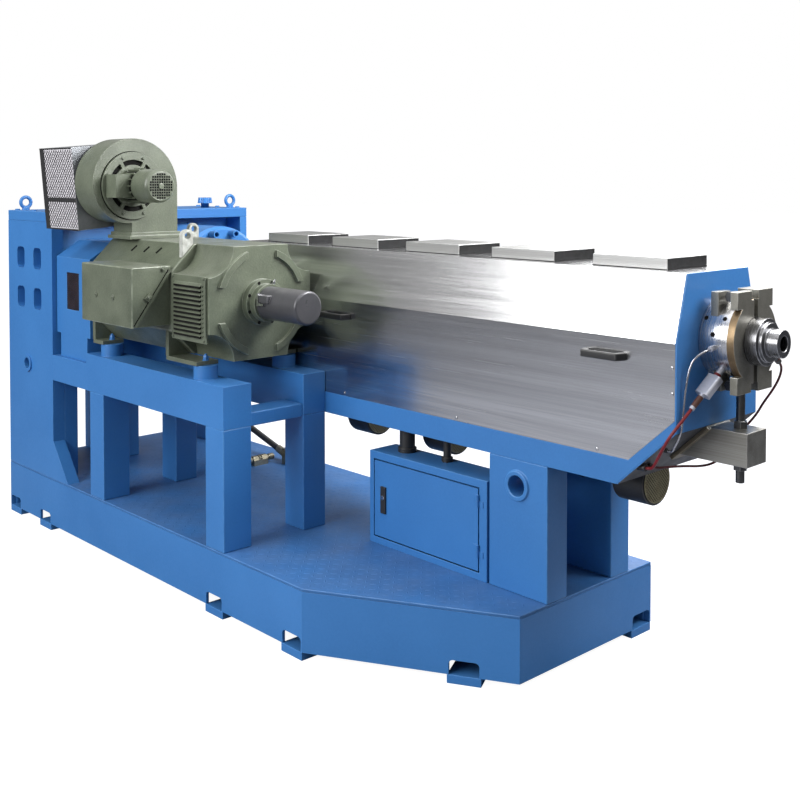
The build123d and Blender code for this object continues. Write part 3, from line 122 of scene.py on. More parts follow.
for lamp_name, place, aim, size, power in (
    ("key_lamp", (-0.7, -5.2, 3.1), (0.40, 0, 0.7), (4.8, 3.2), 340),
    ("top_lamp", (0.0, -0.6, 4.6), (0.0, -0.3, 0.5), (5.0, 3.5), 95),
    ("nozzle_lamp", (2.6, 1.2, 2.6), (0.8, 0.0, 1.1), (1.4, 1.2), 70),
    ("motor_lamp", (0.9, 0.9, 2.6), (-0.4, -0.3, 1.3), (1.2, 1.0), 80),
    ("back_lamp", (-1.0, 5.0, 3.0), (0, 0, 0.9), (3.5, 2.5), 88),
):
    lamp_data = bpy.data.lights.new(lamp_name, "AREA")
    lamp_data.shape = "RECTANGLE"
    lamp_data.size, lamp_data.size_y = size
    lamp_data.energy = power
    lamp = show(lamp_name, lamp_data)
    lamp.location = place
    lamp.visible_camera = False
    lamp.rotation_euler = (Vector(aim) - Vector(place)).to_track_quat("-Z", "Y").to_euler()

floor_half = 40
floor_glow = 0.96
floor_mesh = bpy.data.meshes.new("studio_floor")
floor_corners = [(-1, -1), (1, -1), (1, 1), (-1, 1)]
floor_mesh.from_pydata([(x * floor_half, y * floor_half, 0) for x, y in floor_corners], [], [(0, 1, 2, 3)])
floor = show("studio_floor", floor_mesh)
floor_paint, floor_shader = finish("pale floor", (0.21, 0.22, 0.25), 0.8)
floor_shader.inputs["Emission Color"].default_value = (1, 1, 1, 1)
floor_seen = floor_paint.node_tree.nodes.new("ShaderNodeLightPath")
floor_light = ramp(floor_paint.node_tree, 0.0, 1.0, 0.0, floor_glow)
join(floor_seen, "Is Camera Ray", floor_light, "Value")
join(floor_light, "Result", floor_shader, "Emission Strength")
floor_mesh.materials.append(floor_paint)

# Cables and hose: a red sensor cable and a dark red heater cable with rubber sheaths at the die end,
# and a black rubber oil hose that slopes from the gearbox's rear leg down to a manifold on the deck.
sensor_route = [
    (3.31675, -0.18265, 0.91735),
    (3.3097, -0.2047, 0.8953),
    (3.301, -0.227, 0.871),
    (3.287, -0.241, 0.845),
    (3.269, -0.240, 0.816),
    (3.249, -0.230, 0.788),
    (3.230, -0.218, 0.763),
    (3.212, -0.206, 0.741),
    (3.197, -0.197, 0.729),
    (3.180, -0.197, 0.729),
]
heater_route = [
    (3.428, 0.09675, 1.03225),
    (3.428, 0.112, 1.0216),
    (3.424, 0.121, 1.000),
    (3.413, 0.122, 0.970),
    (3.394, 0.119, 0.936),
    (3.372, 0.114, 0.902),
    (3.356, 0.109, 0.870),
    (3.336, 0.105, 0.842),
    (3.313, 0.099, 0.814),
    (3.295, 0.088, 0.784),
    (3.283, 0.068, 0.753),
    (3.274, 0.041, 0.729),
    (3.263, 0.006, 0.718),
    (3.248, -0.032, 0.717),
    (3.231, -0.068, 0.721),
    (3.218, -0.104, 0.724),
    (3.210, -0.136, 0.726),
    (3.197, -0.164, 0.726),
    (3.177, -0.164, 0.726),
]
oil_route = [
    (0.8574, 0.230, 0.2880),
    (0.780, 0.230, 0.3093),
    (0.700, 0.230, 0.3320),
    (0.629, 0.230, 0.3525),
    (0.560, 0.230, 0.3730),
    (0.500, 0.230, 0.3910),
    (0.450, 0.230, 0.4045),
    (0.410, 0.230, 0.4120),
    (0.3723, 0.230, 0.4120),
]
output_kinds = {"Colour": "NodeSocketColor", "Normal": "NodeSocketVector"}


def socket_value(value):
    """A number as it is, or a colour made opaque."""
    return (*value, 1) if isinstance(value, tuple) else value


def effect(name, inputs, outputs):
    """A shader node group with named inputs and outputs, its entry node and its exit node."""
    group = bpy.data.node_groups.new(name, "ShaderNodeTree")
    for label, value in inputs.items():
        kind = "NodeSocketColor" if isinstance(value, tuple) else "NodeSocketFloat"
        socket = group.interface.new_socket(label, in_out="INPUT", socket_type=kind)
        socket.default_value = socket_value(value)
    for label in outputs:
        kind = output_kinds.get(label, "NodeSocketFloat")
        group.interface.new_socket(label, in_out="OUTPUT", socket_type=kind)
    return group, group.nodes.new("NodeGroupInput"), group.nodes.new("NodeGroupOutput")


def place_effect(material, group, **values):
    """Put a shared effect into a material with its own values."""
    node = material.node_tree.nodes.new("ShaderNodeGroup")
    node.node_tree = group
    for label, value in values.items():
        node.inputs[label.replace("_", " ")].default_value = socket_value(value)
    return node


def noise(tree, detail, scale=None, stretch=None):
    """A noise texture in the object's own metres, with its scale from a node or a stretch along the axes."""
    places = tree.nodes.new("ShaderNodeTexCoord")
    cloud = tree.nodes.new("ShaderNodeTexNoise")
    cloud.inputs["Scale"].default_value = 1
    cloud.inputs["Detail"].default_value = detail
    if scale:
        join(*scale, cloud, "Scale")
    if not stretch:
        join(places, "Object", cloud, "Vector")
        return cloud
    pull = tree.nodes.new("ShaderNodeMapping")
    pull.inputs["Scale"].default_value = stretch
    join(places, "Object", pull, "Vector")
    join(pull, "Vector", cloud, "Vector")
    return cloud


def colour_mix(factor, first, second):
    """A node that blends two colours by a factor, each given as a node and the name of its output."""
    node = factor[0].id_data.nodes.new("ShaderNodeMix")
    node.data_type = "RGBA"
    for source, entry in ((factor, "Factor"), (first, "A"), (second, "B")):
        join(*source, node, entry)
    return node


def times(first, second):
    """A node that multiplies two values, each given as a node and the name of its output."""
    node = first[0].id_data.nodes.new("ShaderNodeMath")
    node.operation = "MULTIPLY"
    for entry, source in enumerate((first, second)):
        join(*source, node, entry)
    return node


# Mottle: slow drift of a colour between two shades, with finer specks on top.
mottle, enter, leave = effect(
    "mottle", {"Light": (1, 1, 1), "Dark": (0, 0, 0), "Scale": 6, "Speck Scale": 180}, ("Colour", "Mask")
)
speck_share = 0.35
drift = noise(mottle, 5, (enter, "Scale"))
speck = noise(mottle, 2, (enter, "Speck Scale"))
blend_masks = mottle.nodes.new("ShaderNodeMath")
blend_masks.operation = "MULTIPLY_ADD"
blend_masks.inputs[1].default_value = speck_share
spread = ramp(mottle, 0.45, 0.9)
join(speck, "Fac", blend_masks, 0)
join(drift, "Fac", blend_masks, 2)
join(blend_masks, "Value", spread, "Value")
drifted = colour_mix((spread, "Result"), (enter, "Dark"), (enter, "Light"))
join(drifted, "Result", leave, "Colour")
join(spread, "Result", leave, "Mask")

# Skin: the fine unevenness of paint, cast metal or rubber, as a normal.
skin, enter, leave = effect("skin", {"Scale": 300, "Depth": 0.0004, "Strength": 0.3}, ("Normal",))
grain = noise(skin, 3, (enter, "Scale"))
lift = skin.nodes.new("ShaderNodeBump")
join(grain, "Fac", lift, "Height")
join(enter, "Depth", lift, "Distance")
join(enter, "Strength", lift, "Strength")
join(lift, "Normal", leave, "Normal")

# Edge wear and highlight: along the rounded edges of a piece the finish turns towards an edge colour in
# broken patches, partly real wear and partly a painted highlight on the rounds.
edge_layer = "edge"
worn_and_lit_edges, enter, leave = effect(
    "worn and highlighted edges", {"Finish": (1, 1, 1), "Bare": (1, 1, 1), "Amount": 0.6, "Scale": 25}, ("Colour", "Mask")
)
rim = worn_and_lit_edges.nodes.new("ShaderNodeAttribute")
rim.attribute_name = edge_layer
patches = noise(worn_and_lit_edges, 4, (enter, "Scale"))
broken = ramp(worn_and_lit_edges, 0.38, 0.62, 0.25, 1.0)
join(patches, "Fac", broken, "Value")
rubbed_and_lit = times((rim, "Fac"), (broken, "Result"))
rubbed_and_lit = times((rubbed_and_lit, "Value"), (enter, "Amount"))
worn_and_lit_colour = colour_mix((rubbed_and_lit, "Value"), (enter, "Finish"), (enter, "Bare"))
join(worn_and_lit_colour, "Result", leave, "Colour")
join(rubbed_and_lit, "Value", leave, "Mask")

# Settled dust: what lies on faces that look upwards, thicker in drifts.
settled_dust, enter, leave = effect(
    "settled dust",
    {"Finish": (1, 1, 1), "Dust": (0.2, 0.19, 0.18), "Amount": 0.4, "Scale": 7},
    ("Colour", "Mask"),
)
facing = settled_dust.nodes.new("ShaderNodeNewGeometry")
facing_parts = settled_dust.nodes.new("ShaderNodeSeparateXYZ")
upward = ramp(settled_dust, 0.75, 0.98)
drifts = noise(settled_dust, 6, (enter, "Scale"))
thick = ramp(settled_dust, 0.35, 0.68, 0.2, 1.0)
join(facing, "Normal", facing_parts, "Vector")
join(facing_parts, "Z", upward, "Value")
join(drifts, "Fac", thick, "Value")
laid = times((upward, "Result"), (thick, "Result"))
laid = times((laid, "Value"), (enter, "Amount"))
dusty_colour = colour_mix((laid, "Value"), (enter, "Finish"), (enter, "Dust"))
join(dusty_colour, "Result", leave, "Colour")
join(laid, "Value", leave, "Mask")

coat_gloss = 0.2
gloss_over_dark = 0.08
gloss_over_light = -0.05


def coated(
    name, light, dark, gloss, bare, metal=0.0, wear=0.5, dust=0.0, coat=0.0, gleam=0.5,
    patch=6, speck_scale=180, grain_scale=300, depth=0.0004, strength=0.3,
):
    """A finish whose colour drifts, gathers dust over a slightly uneven skin, and turns towards its bare
    colour at the edges: darker there as wear, lighter there as a painted highlight.
    """
    material, shader = finish(name, light, gloss, metal)
    shader.inputs["Specular IOR Level"].default_value = gleam
    if coat:
        shader.inputs["Coat Weight"].default_value = coat
        shader.inputs["Coat Roughness"].default_value = coat_gloss
    colours = place_effect(material, mottle, Light=light, Dark=dark, Scale=patch, Speck_Scale=speck_scale)
    # The rounded edges take the bare colour, as wear and as a painted highlight.
    top = place_effect(material, worn_and_lit_edges, Bare=bare, Amount=wear)
    join(colours, "Colour", top, "Finish")
    if dust:
        grime = place_effect(material, settled_dust, Amount=dust)
        join(top, "Colour", grime, "Finish")
        top = grime
    join(top, "Colour", shader, "Base Color")
    sheen = ramp(material.node_tree, 0.0, 1.0, gloss + gloss_over_dark, gloss + gloss_over_light)
    join(colours, "Mask", sheen, "Value")
    join(sheen, "Result", shader, "Roughness")
    surface = place_effect(material, skin, Scale=grain_scale, Depth=depth, Strength=strength)
    join(surface, "Normal", shader, "Normal")
    return material


red_sheath = coated(
    "red cable sheath", (0.22, 0.009, 0.013), (0.13, 0.007, 0.009), 0.40, (0.4, 0.03, 0.03),
    patch=30, grain_scale=700,
)
dark_sheath = coated(
    "dark red cable sheath", (0.13, 0.010, 0.012), (0.05, 0.006, 0.007), 0.40, (0.2, 0.02, 0.02),
    patch=30, grain_scale=700,
)
black_rubber = coated(
    "black hose rubber", (0.020, 0.020, 0.021), (0.012, 0.012, 0.012), 0.48, (0.05, 0.05, 0.05),
    dust=0.35, grain_scale=500,
)
for cord_name, route, diameter, length, sheath, cord_slot, stiffness, lay in (
    ("sensor_cable", sensor_route, 0.009, 0.2696, red_sheath, "red_rubber", "medium", "hanging"),
    ("heater_cable", heater_route, 0.007, 0.6115, dark_sheath, "red_rubber", "medium", "hanging"),
    ("oil_hose", oil_route, 0.028, 0.502, black_rubber, "black_rubber", "stiff", "hanging"),
):
    curve = bpy.data.curves.new(cord_name + "_sheath", "CURVE")
    curve.dimensions = "3D"
    curve.bevel_depth = diameter / 2
    curve.bevel_resolution = 4
    curve.resolution_u = 10
    curve.use_fill_caps = True
    line = curve.splines.new("NURBS")
    line.points.add(len(route) - 1)
    for point, place in zip(line.points, route):
        point.co = (*spot(*place), 1)
    line.order_u = 3
    line.use_endpoint_u = True
    curve.materials.append(sheath)
    cord = show(cord_name + "_sheath", curve)
    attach(cord, "machine")
    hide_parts(cord_name)

# Base: a welded box of upright plates under a chequered deck, satin blue enamel all over.
# Its sheets were ground at the edges before painting, so every edge has a small round.
# Its bare colour, a lighter blue, is a painted highlight along the rounded edges.
blue_paint = coated(
    "blue enamel", (0.040, 0.180, 0.465), (0.030, 0.152, 0.410), 0.38, (0.090, 0.280, 0.590),
    wear=0.40, dust=0.10, patch=3, speck_scale=120, grain_scale=260, depth=0.0005, strength=0.22,
)
deck_paint = coated(
    "trodden blue enamel", (0.034, 0.150, 0.395), (0.023, 0.108, 0.295), 0.46, (0.10, 0.24, 0.50),
    wear=0.6, dust=0.14, patch=5, speck_scale=60, grain_scale=200, depth=0.0006,
)
smooth_limit = math.radians(50)
sharp_limit = math.radians(28)
flat_limit = math.radians(0.5)
weld_distance = 1e-5
fold_measure = -1e-10
round_shares = (1.0, 0.6, 0.35, 0.2)


def settle(name, bm, material, body="machine"):
    """Turn a finished bmesh into a piece that rides on a body, evenly shaded up to its sharp edges."""
    mesh = bpy.data.meshes.new(name)
    bm.to_mesh(mesh)
    bm.free()
    mesh.materials.append(material)
    mesh.shade_smooth()
    mesh.set_sharp_from_angle(angle=smooth_limit)
    piece = show(name, mesh)
    shading = piece.modifiers.new("even shading", "WEIGHTED_NORMAL")
    shading.keep_sharp = True
    shading.weight = 100
    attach(piece, body)
    return piece


def folded(bm):
    """Whether any face of a bmesh lies over itself."""
    bm.normal_update()
    for corners in bm.calc_loop_triangles():
        first, second, third = (corner.vert.co for corner in corners)
        turn = (second - first).cross(third - first)
        if turn.dot(corners[0].face.normal) < fold_measure:
            return True
    return False


def softened(plain, width):
    """A copy of a bmesh with its sharp edges rounded, as widely as they can be, and marked for edge wear and
    a painted edge highlight.
    """
    plain.faces.layers.float.new(edge_layer)
    for share in round_shares:
        trial = plain.copy()
        mark = trial.faces.layers.float[edge_layer]
        inner = [edge for edge in trial.edges if len(edge.link_faces) == 2]
        made = bmesh.ops.bevel(
            trial, geom=[edge for edge in inner if edge.calc_face_angle(0) > sharp_limit],
            offset=width * share, offset_type="OFFSET",
            segments=2, profile=0.5, affect="EDGES", clamp_overlap=True,
        )
        if folded(trial):
            trial.free()
            continue
        for face in made["faces"]:
            face[mark] = 1.0
        return trial
    return plain


def eased(node, width, material, body="machine", reshape=None):
    """A copy of a solid with its sharp edges rounded and marked for edge wear and a painted edge highlight,
    which stands for it.
    """
    plain = bmesh.new()
    plain.from_mesh(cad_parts[node].data)
    bmesh.ops.remove_doubles(plain, verts=plain.verts, dist=weld_distance)
    bmesh.ops.dissolve_limit(plain, angle_limit=flat_limit, verts=plain.verts, edges=plain.edges)
    if reshape:
        for corner in plain.verts:
            corner.co = reshape(corner.co)
    piece = settle(node + "_eased", softened(plain, width), material, body)
    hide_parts(node)
    return piece


def enamelled(width, *nodes):
    """Ease the solids that are painted blue with the base."""
    for node in nodes:
        eased(node, width, blue_paint)


def dress(node, material):
    """Give a solid that keeps its own shape its finish."""
    node_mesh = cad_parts[node].data
    node_mesh.materials.clear()
    node_mesh.materials.append(material)
    node_mesh.shade_smooth()
    node_mesh.set_sharp_from_angle(angle=sharp_limit)


enamelled(0.003, "base_skirts")
enamelled(0.002, "foot_pads")
eased("base_deck", 0.0025, deck_paint)

# Chequer lozenges: the raised pattern rolled into the deck plate, painted with it,
# left clear of the legs, posts and boxes that are welded down onto the plate.
lozenge_pitch = 0.032
lozenge_half = 0.011
lozenge_crest = 0.0055
lozenge_width = 0.0035
lozenge_rise = 0.0012
lozenge_clearance = 0.02
lozenge_faces = ((0, 1, 4), (1, 2, 5), (1, 5, 4), (2, 3, 5), (3, 0, 4), (3, 4, 5), (3, 2, 1, 0))
deck_low, deck_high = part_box("base_deck")
deck_corner_x = spot(2.209, 0, 0).x
deck_end_y = spot(0, -0.345, 0).y
gearbox_foot = (spot(0, -0.70, 0), spot(0.45, 0.35, 0))
manifold_foot = (spot(0.84, 0.04, 0), spot(1.0, 0.27, 0))
post_long = 0.115
post_deep = 0.120
standing = [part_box(node) for node in ("control_box", "control_box_frame", "pillar_legs")]
standing += [gearbox_foot, manifold_foot]
standing += [
    (spot(start, front, 0), spot(start + post_long, front + post_deep, 0))
    for start, front in ((0.783, -0.688), (1.650, -0.688), (0.747, -0.325), (1.640, -0.325))
]
lozenges = bmesh.new()
for column in range(1, int((deck_high.x - deck_low.x) / lozenge_pitch)):
    for row in range(1, int((deck_high.y - deck_low.y) / lozenge_pitch)):
        x = deck_low.x + column * lozenge_pitch
        y = deck_low.y + row * lozenge_pitch
        share = max(0, (x - deck_corner_x) / (deck_high.x - deck_corner_x))
        if y < deck_low.y + share * (deck_end_y - deck_low.y) + lozenge_clearance:
            continue
        if any(
            low.x - lozenge_clearance < x < high.x + lozenge_clearance
            and low.y - lozenge_clearance < y < high.y + lozenge_clearance
            for low, high in standing
        ):
            continue
        angle = math.radians(45 if (column + row) % 2 else -45)
        way = Vector((math.cos(angle), math.sin(angle), 0))
        side = Vector((-way.y, way.x, 0))
        middle = Vector((x, y, deck_high.z))
        raised = Vector((x, y, deck_high.z + lozenge_rise))
        points = [middle + way * lozenge_half, middle + side * lozenge_width]
        points += [middle - way * lozenge_half, middle - side * lozenge_width]
        points += [raised + way * lozenge_crest, raised - way * lozenge_crest]
        corners = [lozenges.verts.new(point) for point in points]
        for face in lozenge_faces:
            lozenges.faces.new([corners[i] for i in face])
settle("chequer_lozenges", lozenges, deck_paint)

# Gearbox: heavy flame-cut walls bolted round the gear case, in the same blue enamel.
# The top plate carries two forged lifting eyes and the oil filler's lobed cap.
enamelled(0.003, "gearbox_front_wall", "gearbox_rear_wall", "gearbox_top", "gear_case", "gearbox_legs")
enamelled(0.003, "thrust_housing", "oil_cap")
dress("lifting_eyes", blue_paint)

# Gearbox fasteners: screws that hold the top plate down and the bolt ring of the thrust housing,
# steel heads painted over with the walls. A head is given by its radius, its rise and its sides.
upwards = (0, 0, 1)
die_way = (1, 0, 0)
plate_low, plate_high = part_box("gearbox_top")
plate_screw = (0.011, 0.006)
housing_face = 0.352
housing_bolt_circle = 0.243
housing_bolt_count = 12
housing_bolt = (0.0085, 0.010, 6)
head_side = 0.7
head_top = 0.8


def bar(bm, start, end, radius, sides=12, far_radius=None):
    """Add a closed round or flat-sided bar between two points to a bmesh."""
    start, end = Vector(start), Vector(end)
    run = end - start
    turn = run.to_track_quat("Z", "Y").to_matrix().to_4x4()
    bmesh.ops.create_cone(
        bm,
        cap_ends=True,
        segments=sides,
        radius1=radius,
        radius2=radius if far_radius is None else far_radius,
        depth=run.length,
        matrix=Matrix.Translation((start + end) / 2) @ turn,
    )


def screw(bm, seat, way, radius, rise, sides=24):
    """Add a screw head with a bevelled rim that stands on a seat and points a given way."""
    seat, way = Vector(seat), Vector(way).normalized()
    shoulder = seat + way * rise * head_side
    bar(bm, seat, shoulder, radius, sides)
    bar(bm, shoulder, seat + way * rise, radius, sides, radius * head_top)


def bolt_circle(along, across, up, radius, count):
    """Evenly spaced points on a circle that faces the die end, half a step off its side."""
    turns = [2 * math.pi * (step + 0.5) / count for step in range(count)]
    return [spot(along, across + radius * math.cos(turn), up + radius * math.sin(turn)) for turn in turns]


fasteners = bmesh.new()
for along_plate in (0.10, 0.5, 0.9):
    for across_plate in (0.025, 0.975):
        x = plate_low.x + along_plate * (plate_high.x - plate_low.x)
        y = plate_low.y + across_plate * (plate_high.y - plate_low.y)
        screw(fasteners, (x, y, plate_high.z), upwards, *plate_screw)
for seat in bolt_circle(housing_face, 0, axis_z, housing_bolt_circle, housing_bolt_count):
    screw(fasteners, seat, die_way, *housing_bolt)
settle("gearbox_fasteners", fasteners, blue_paint)

# Feed throat: machined steel block where the pellets drop in, with a bright bolting flange.
# It is spigoted into the thrust housing on one side and the barrel on the other.
line_depth = 0.0002
lathe, enter, leave = effect(
    "lathe lines", {"Scale": 900, "Strength": 0.15, "Dull": 0.32, "Bright": 0.16}, ("Normal", "Roughness")
)
rings = noise(lathe, 4, (enter, "Scale"), (1, 0.01, 0.01))
ring_gloss = ramp(lathe, 0.3, 0.7)
lift = lathe.nodes.new("ShaderNodeBump")
lift.inputs["Distance"].default_value = line_depth
join(rings, "Fac", lift, "Height")
join(rings, "Fac", ring_gloss, "Value")
join(enter, "Dull", ring_gloss, "To Min")
join(enter, "Bright", ring_gloss, "To Max")
join(enter, "Strength", lift, "Strength")
join(lift, "Normal", leave, "Normal")
join(ring_gloss, "Result", leave, "Roughness")


def machined(name, light, dark, bare, **values):
    """A bright metal with turning lines, a drift of colour, and edges brightened towards its bare colour as
    wear and as a painted highlight.
    """
    material, shader = finish(name, light, metal=1.0)
    turning = place_effect(material, lathe, **values)
    colours = place_effect(material, mottle, Light=light, Dark=dark, Scale=12, Speck_Scale=300)
    # The rounded edges brighten towards the bare colour as a painted highlight and as wear.
    edges = place_effect(material, worn_and_lit_edges, Bare=bare, Amount=0.7, Scale=60)
    join(turning, "Normal", shader, "Normal")
    join(turning, "Roughness", shader, "Roughness")
    join(colours, "Colour", edges, "Finish")
    join(edges, "Colour", shader, "Base Color")
    return material


turned = machined(
    "turned steel", (0.66, 0.66, 0.68), (0.50, 0.50, 0.52), (0.85, 0.85, 0.86), Scale=900, Strength=0.2
)
eased("feed_throat", 0.0015, turned)

# Coupling guard: folded and welded sheet over the coupling, blue enamel, with a window of dark
# expanded metal so that the coupling can be watched. A strip is given by its width and its rise.
enamelled(0.003, "coupling_guard")
mesh_metal = coated(
    "oiled mesh", (0.085, 0.066, 0.084), (0.045, 0.036, 0.046), 0.45, (0.2, 0.15, 0.15),
    metal=0.6, patch=20, grain_scale=500,
)
front_way = (0, -1, 0)
window_foot = spot(0.544, -0.664, 0.992)
window_width = (0.110, 0, 0)
window_height = (0, 0, 0.159)
window_pitch = 0.009
window_strand = (0.0026, 0.001)


def strip(bm, start, end, width, rise, way):
    """Add a flat closed bar between two points, lying on a face that looks the given way."""
    start, end, way = Vector(start), Vector(end), Vector(way).normalized()
    side = way.cross(end - start).normalized() * width / 2
    ring = [start - side, start + side, end + side, end - side]
    low = [bm.verts.new(point) for point in ring]
    high = [bm.verts.new(point + way * rise) for point in ring]
    made = [bm.faces.new(low), bm.faces.new(high)]
    made += [bm.faces.new((low[i], low[i - 1], high[i - 1], high[i])) for i in range(4)]
    bmesh.ops.recalc_face_normals(bm, faces=made)


def weave(bm, corner, across, up, pitch, width, rise, way):
    """Add two layers of slanting flat strands that fill a rectangle given by a corner and two sides."""
    corner, across, up = Vector(corner), Vector(across), Vector(up)
    wide, tall = across.length, up.length
    across, up = across.normalized(), up.normalized()
    for layer, lean in enumerate((1, -1)):
        for step in range(1, int((wide + tall) / pitch) + 1):
            reach = step * pitch
            first = (max(0, reach - tall), min(reach, tall))
            last = (min(reach, wide), max(0, reach - wide))
            if abs(last[0] - first[0]) < width:
                continue
            ends = [
                corner + across * (u if lean > 0 else wide - u) + up * v + Vector(way) * layer * rise
                for u, v in (first, last)
            ]
            strip(bm, *ends, width, rise, way)


window_mesh = bmesh.new()
weave(window_mesh, window_foot, window_width, window_height, window_pitch, *window_strand, front_way)
settle("guard_window_mesh", window_mesh, mesh_metal)

# Motor stand: box beams on posts with a cross member, welded and painted with the base.
# Round pads on the beams carry the motor's feet.
enamelled(0.004, "front_beam", "rear_beam", "motor_posts", "stand_cross_member")

# Motor: rolled yoke and cast end bell in grey-green machine paint over a coarse cast skin.
# Feet, terminal box, louvred cover and blower are bolted on and painted with it.
# Its bare colour, a lighter green, is a painted highlight along the rounded edges, with some wear.
motor_paint = coated(
    "grey-green machine paint", (0.130, 0.149, 0.107), (0.074, 0.089, 0.060), 0.36, (0.270, 0.300, 0.230),
    wear=0.6, dust=0.25, coat=0.25, patch=9, speck_scale=150, grain_scale=130, depth=0.0016, strength=0.55,
)
for node, width in (
    ("motor_yoke", 0.005),
    ("motor_end_bell", 0.004),
    ("motor_feet", 0.002),
    ("louvre_cover", 0.001),
    ("terminal_box_base", 0.003),
    ("terminal_box_cover", 0.005),
):
    eased(node, width, motor_paint)

# Painted shade in the motor's skin: the slanting slots in the yoke's chamfer, tapped holes round the hub and
# the gaps under the louvres with their end nicks, drawn as thin dark pieces, with the dark seam of the
# terminal box.
# Painted shadow: a near-black finish for the dark pieces laid where openings and gaps fall into shade.
shadow = coated(
    "painted shadow", (0.010, 0.010, 0.009), (0.004, 0.004, 0.004), 0.7, (0.02, 0.02, 0.02),
    gleam=0.1, patch=40, grain_scale=500,
)
shadow_rise = 0.0006
chamfer_way = (0, -1, 1)
slot_foot = (-0.6275, 1.2655)
slot_head = (-0.6065, 1.2865)
slot_lean = 0.005
slot_width = 0.014
bell_low, bell_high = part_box("motor_end_bell")
motor_across = (bell_low.y + bell_high.y) / 2 - axis_y
hub_step = 1.692
hub_hole_circle = 0.078
hub_hole_count = 8
hub_hole_radius = 0.0065
louvre_face = -0.689
louvre_start = 1.458
louvre_end = 1.630
louvre_first = 0.986965
louvre_pitch = 0.01633
louvre_count = 12
louvre_gap_shade = (0.0072, 0.0093)
nick_start = 1.638
nick_end = 1.644
nick_climb = 0.006
nick_width = 0.003
box_end = 1.413
seam_foot = (-0.8365, 1.018)
seam_head = (-0.6915, 1.218)
seam_width = 0.004
motor_painted_shade = bmesh.new()
for slot_at in (1.031, 1.128, 1.222):
    foot = spot(slot_at - slot_lean, *slot_foot)
    head = spot(slot_at + slot_lean, *slot_head)
    strip(motor_painted_shade, foot, head, slot_width, shadow_rise, chamfer_way)
for seat in bolt_circle(hub_step, motor_across, axis_z, hub_hole_circle, hub_hole_count):
    bar(motor_painted_shade, seat, seat + Vector((shadow_rise, 0, 0)), hub_hole_radius, sides=16)
for count in range(louvre_count):
    level = louvre_first + count * louvre_pitch
    foot = spot(louvre_start, louvre_face, level)
    head = spot(louvre_end, louvre_face, level)
    strip(motor_painted_shade, foot, head, *louvre_gap_shade, front_way)
    foot = spot(nick_start, louvre_face, level)
    head = spot(nick_end, louvre_face, level + nick_climb)
    strip(motor_painted_shade, foot, head, nick_width, shadow_rise, front_way)
strip(motor_painted_shade, spot(box_end, *seam_foot), spot(box_end, *seam_head), seam_width, shadow_rise, die_way)
settle("motor_painted_shade", motor_painted_shade, shadow)

# Motor fittings: screws of the louvred cover, and the bosses, latch, hinge and seam lips of the
# terminal box, cast or pressed steel painted over in place.
cover_screw = (0.005, 0.004)
boss_face = -0.844
boss = (0.011, 0.004)
boss_stud = (0.006, 0.003, 6)
box_start = 1.027
lip_foot = (-0.831, 1.014)
lip_head = (-0.686, 1.214)
lip = (0.010, 0.003)
latch_foot = (-0.786, 1.110)
latch_head = (-0.770, 1.132)
latch = (0.020, 0.008)
latch_knob_seat = (1.421, -0.778, 1.121)
latch_knob = (0.007, 0.008)
hinge_seat = (1.413, -0.714, 1.222)
hinge_knuckle = (0.008, 0.009)
fittings = bmesh.new()
for screw_at in (1.440, 1.646):
    for level in (0.975, 1.197):
        screw(fittings, spot(screw_at, louvre_face, level), front_way, *cover_screw)
for boss_at, level in ((1.1435, 1.117), (1.273, 1.115)):
    screw(fittings, spot(boss_at, boss_face, level), front_way, *boss)
    screw(fittings, spot(boss_at, boss_face - boss[1], level), front_way, *boss_stud)
for end_at, way in ((box_end, 1), (box_start, -1)):
    strip(fittings, spot(end_at, *lip_foot), spot(end_at, *lip_head), *lip, (way, 0, 0))
strip(fittings, spot(box_end, *latch_foot), spot(box_end, *latch_head), *latch, die_way)
screw(fittings, spot(*latch_knob_seat), die_way, *latch_knob)
screw(fittings, spot(*hinge_seat), die_way, *hinge_knuckle)
settle("motor_fittings", fittings, motor_paint)

# Grease nipple: a bright steel hexagon with a tapered beak,
# screwed into the hub's top so that the bearing can be greased.
nipple_way = Vector((0.25, 0.35, 0.9)).normalized()
nipple_seat = spot(1.700, motor_across + 0.027, axis_z + 0.066)
nipple_shoulder = nipple_seat + nipple_way * 0.010
nipple_tip = nipple_seat + nipple_way * 0.020
hexagon_radius = 0.006
beak_radius = 0.004
beak_end_radius = 0.0022
nipple = bmesh.new()
bar(nipple, nipple_seat, nipple_shoulder, hexagon_radius, sides=6)
bar(nipple, nipple_shoulder, nipple_tip, beak_radius, far_radius=beak_end_radius)
settle("grease_nipple", nipple, turned)

# Foot bolts: a washer, a hexagon head and the bolt's end on top of each other,
# blue like the stand, through the motor's feet into the pads.
foot_top = 0.890
foot_stack = ((0.0125, 0.004, 24), (0.011, 0.014, 6), (0.006, 0.006, 12))
foot_bolts = bmesh.new()
for along_foot in (0.867, 1.565):
    for across_foot in (-0.628, -0.272):
        level = foot_top
        for radius, rise, sides in foot_stack:
            screw(foot_bolts, spot(along_foot, across_foot, level), upwards, radius, rise, sides)
            level += rise
settle("motor_foot_bolts", foot_bolts, blue_paint)

# Speed sensor: grey lacquered can screwed to the motor's tail, with a connector pad on its flank
# that a bright steel clip holds.
sensor_grey = coated(
    "grey lacquer", (0.088, 0.088, 0.096), (0.060, 0.060, 0.066), 0.32, (0.34, 0.34, 0.36),
    metal=0.35, wear=0.8, dust=0.2, patch=14, speck_scale=260, grain_scale=400,
)
eased("tail_sensor", 0.003, sensor_grey)
sensor_clip = bmesh.new()
for foot, head, width, rise in (
    ((1.738, -0.490, 1.096), (1.738, -0.490, 1.142), 0.009, 0.0315),
    ((1.743, -0.495, 1.1025), (1.772, -0.495, 1.1025), 0.008, 0.0265),
):
    strip(sensor_clip, spot(*foot), spot(*head), width, rise, front_way)
settle("sensor_clip", sensor_clip, turned)

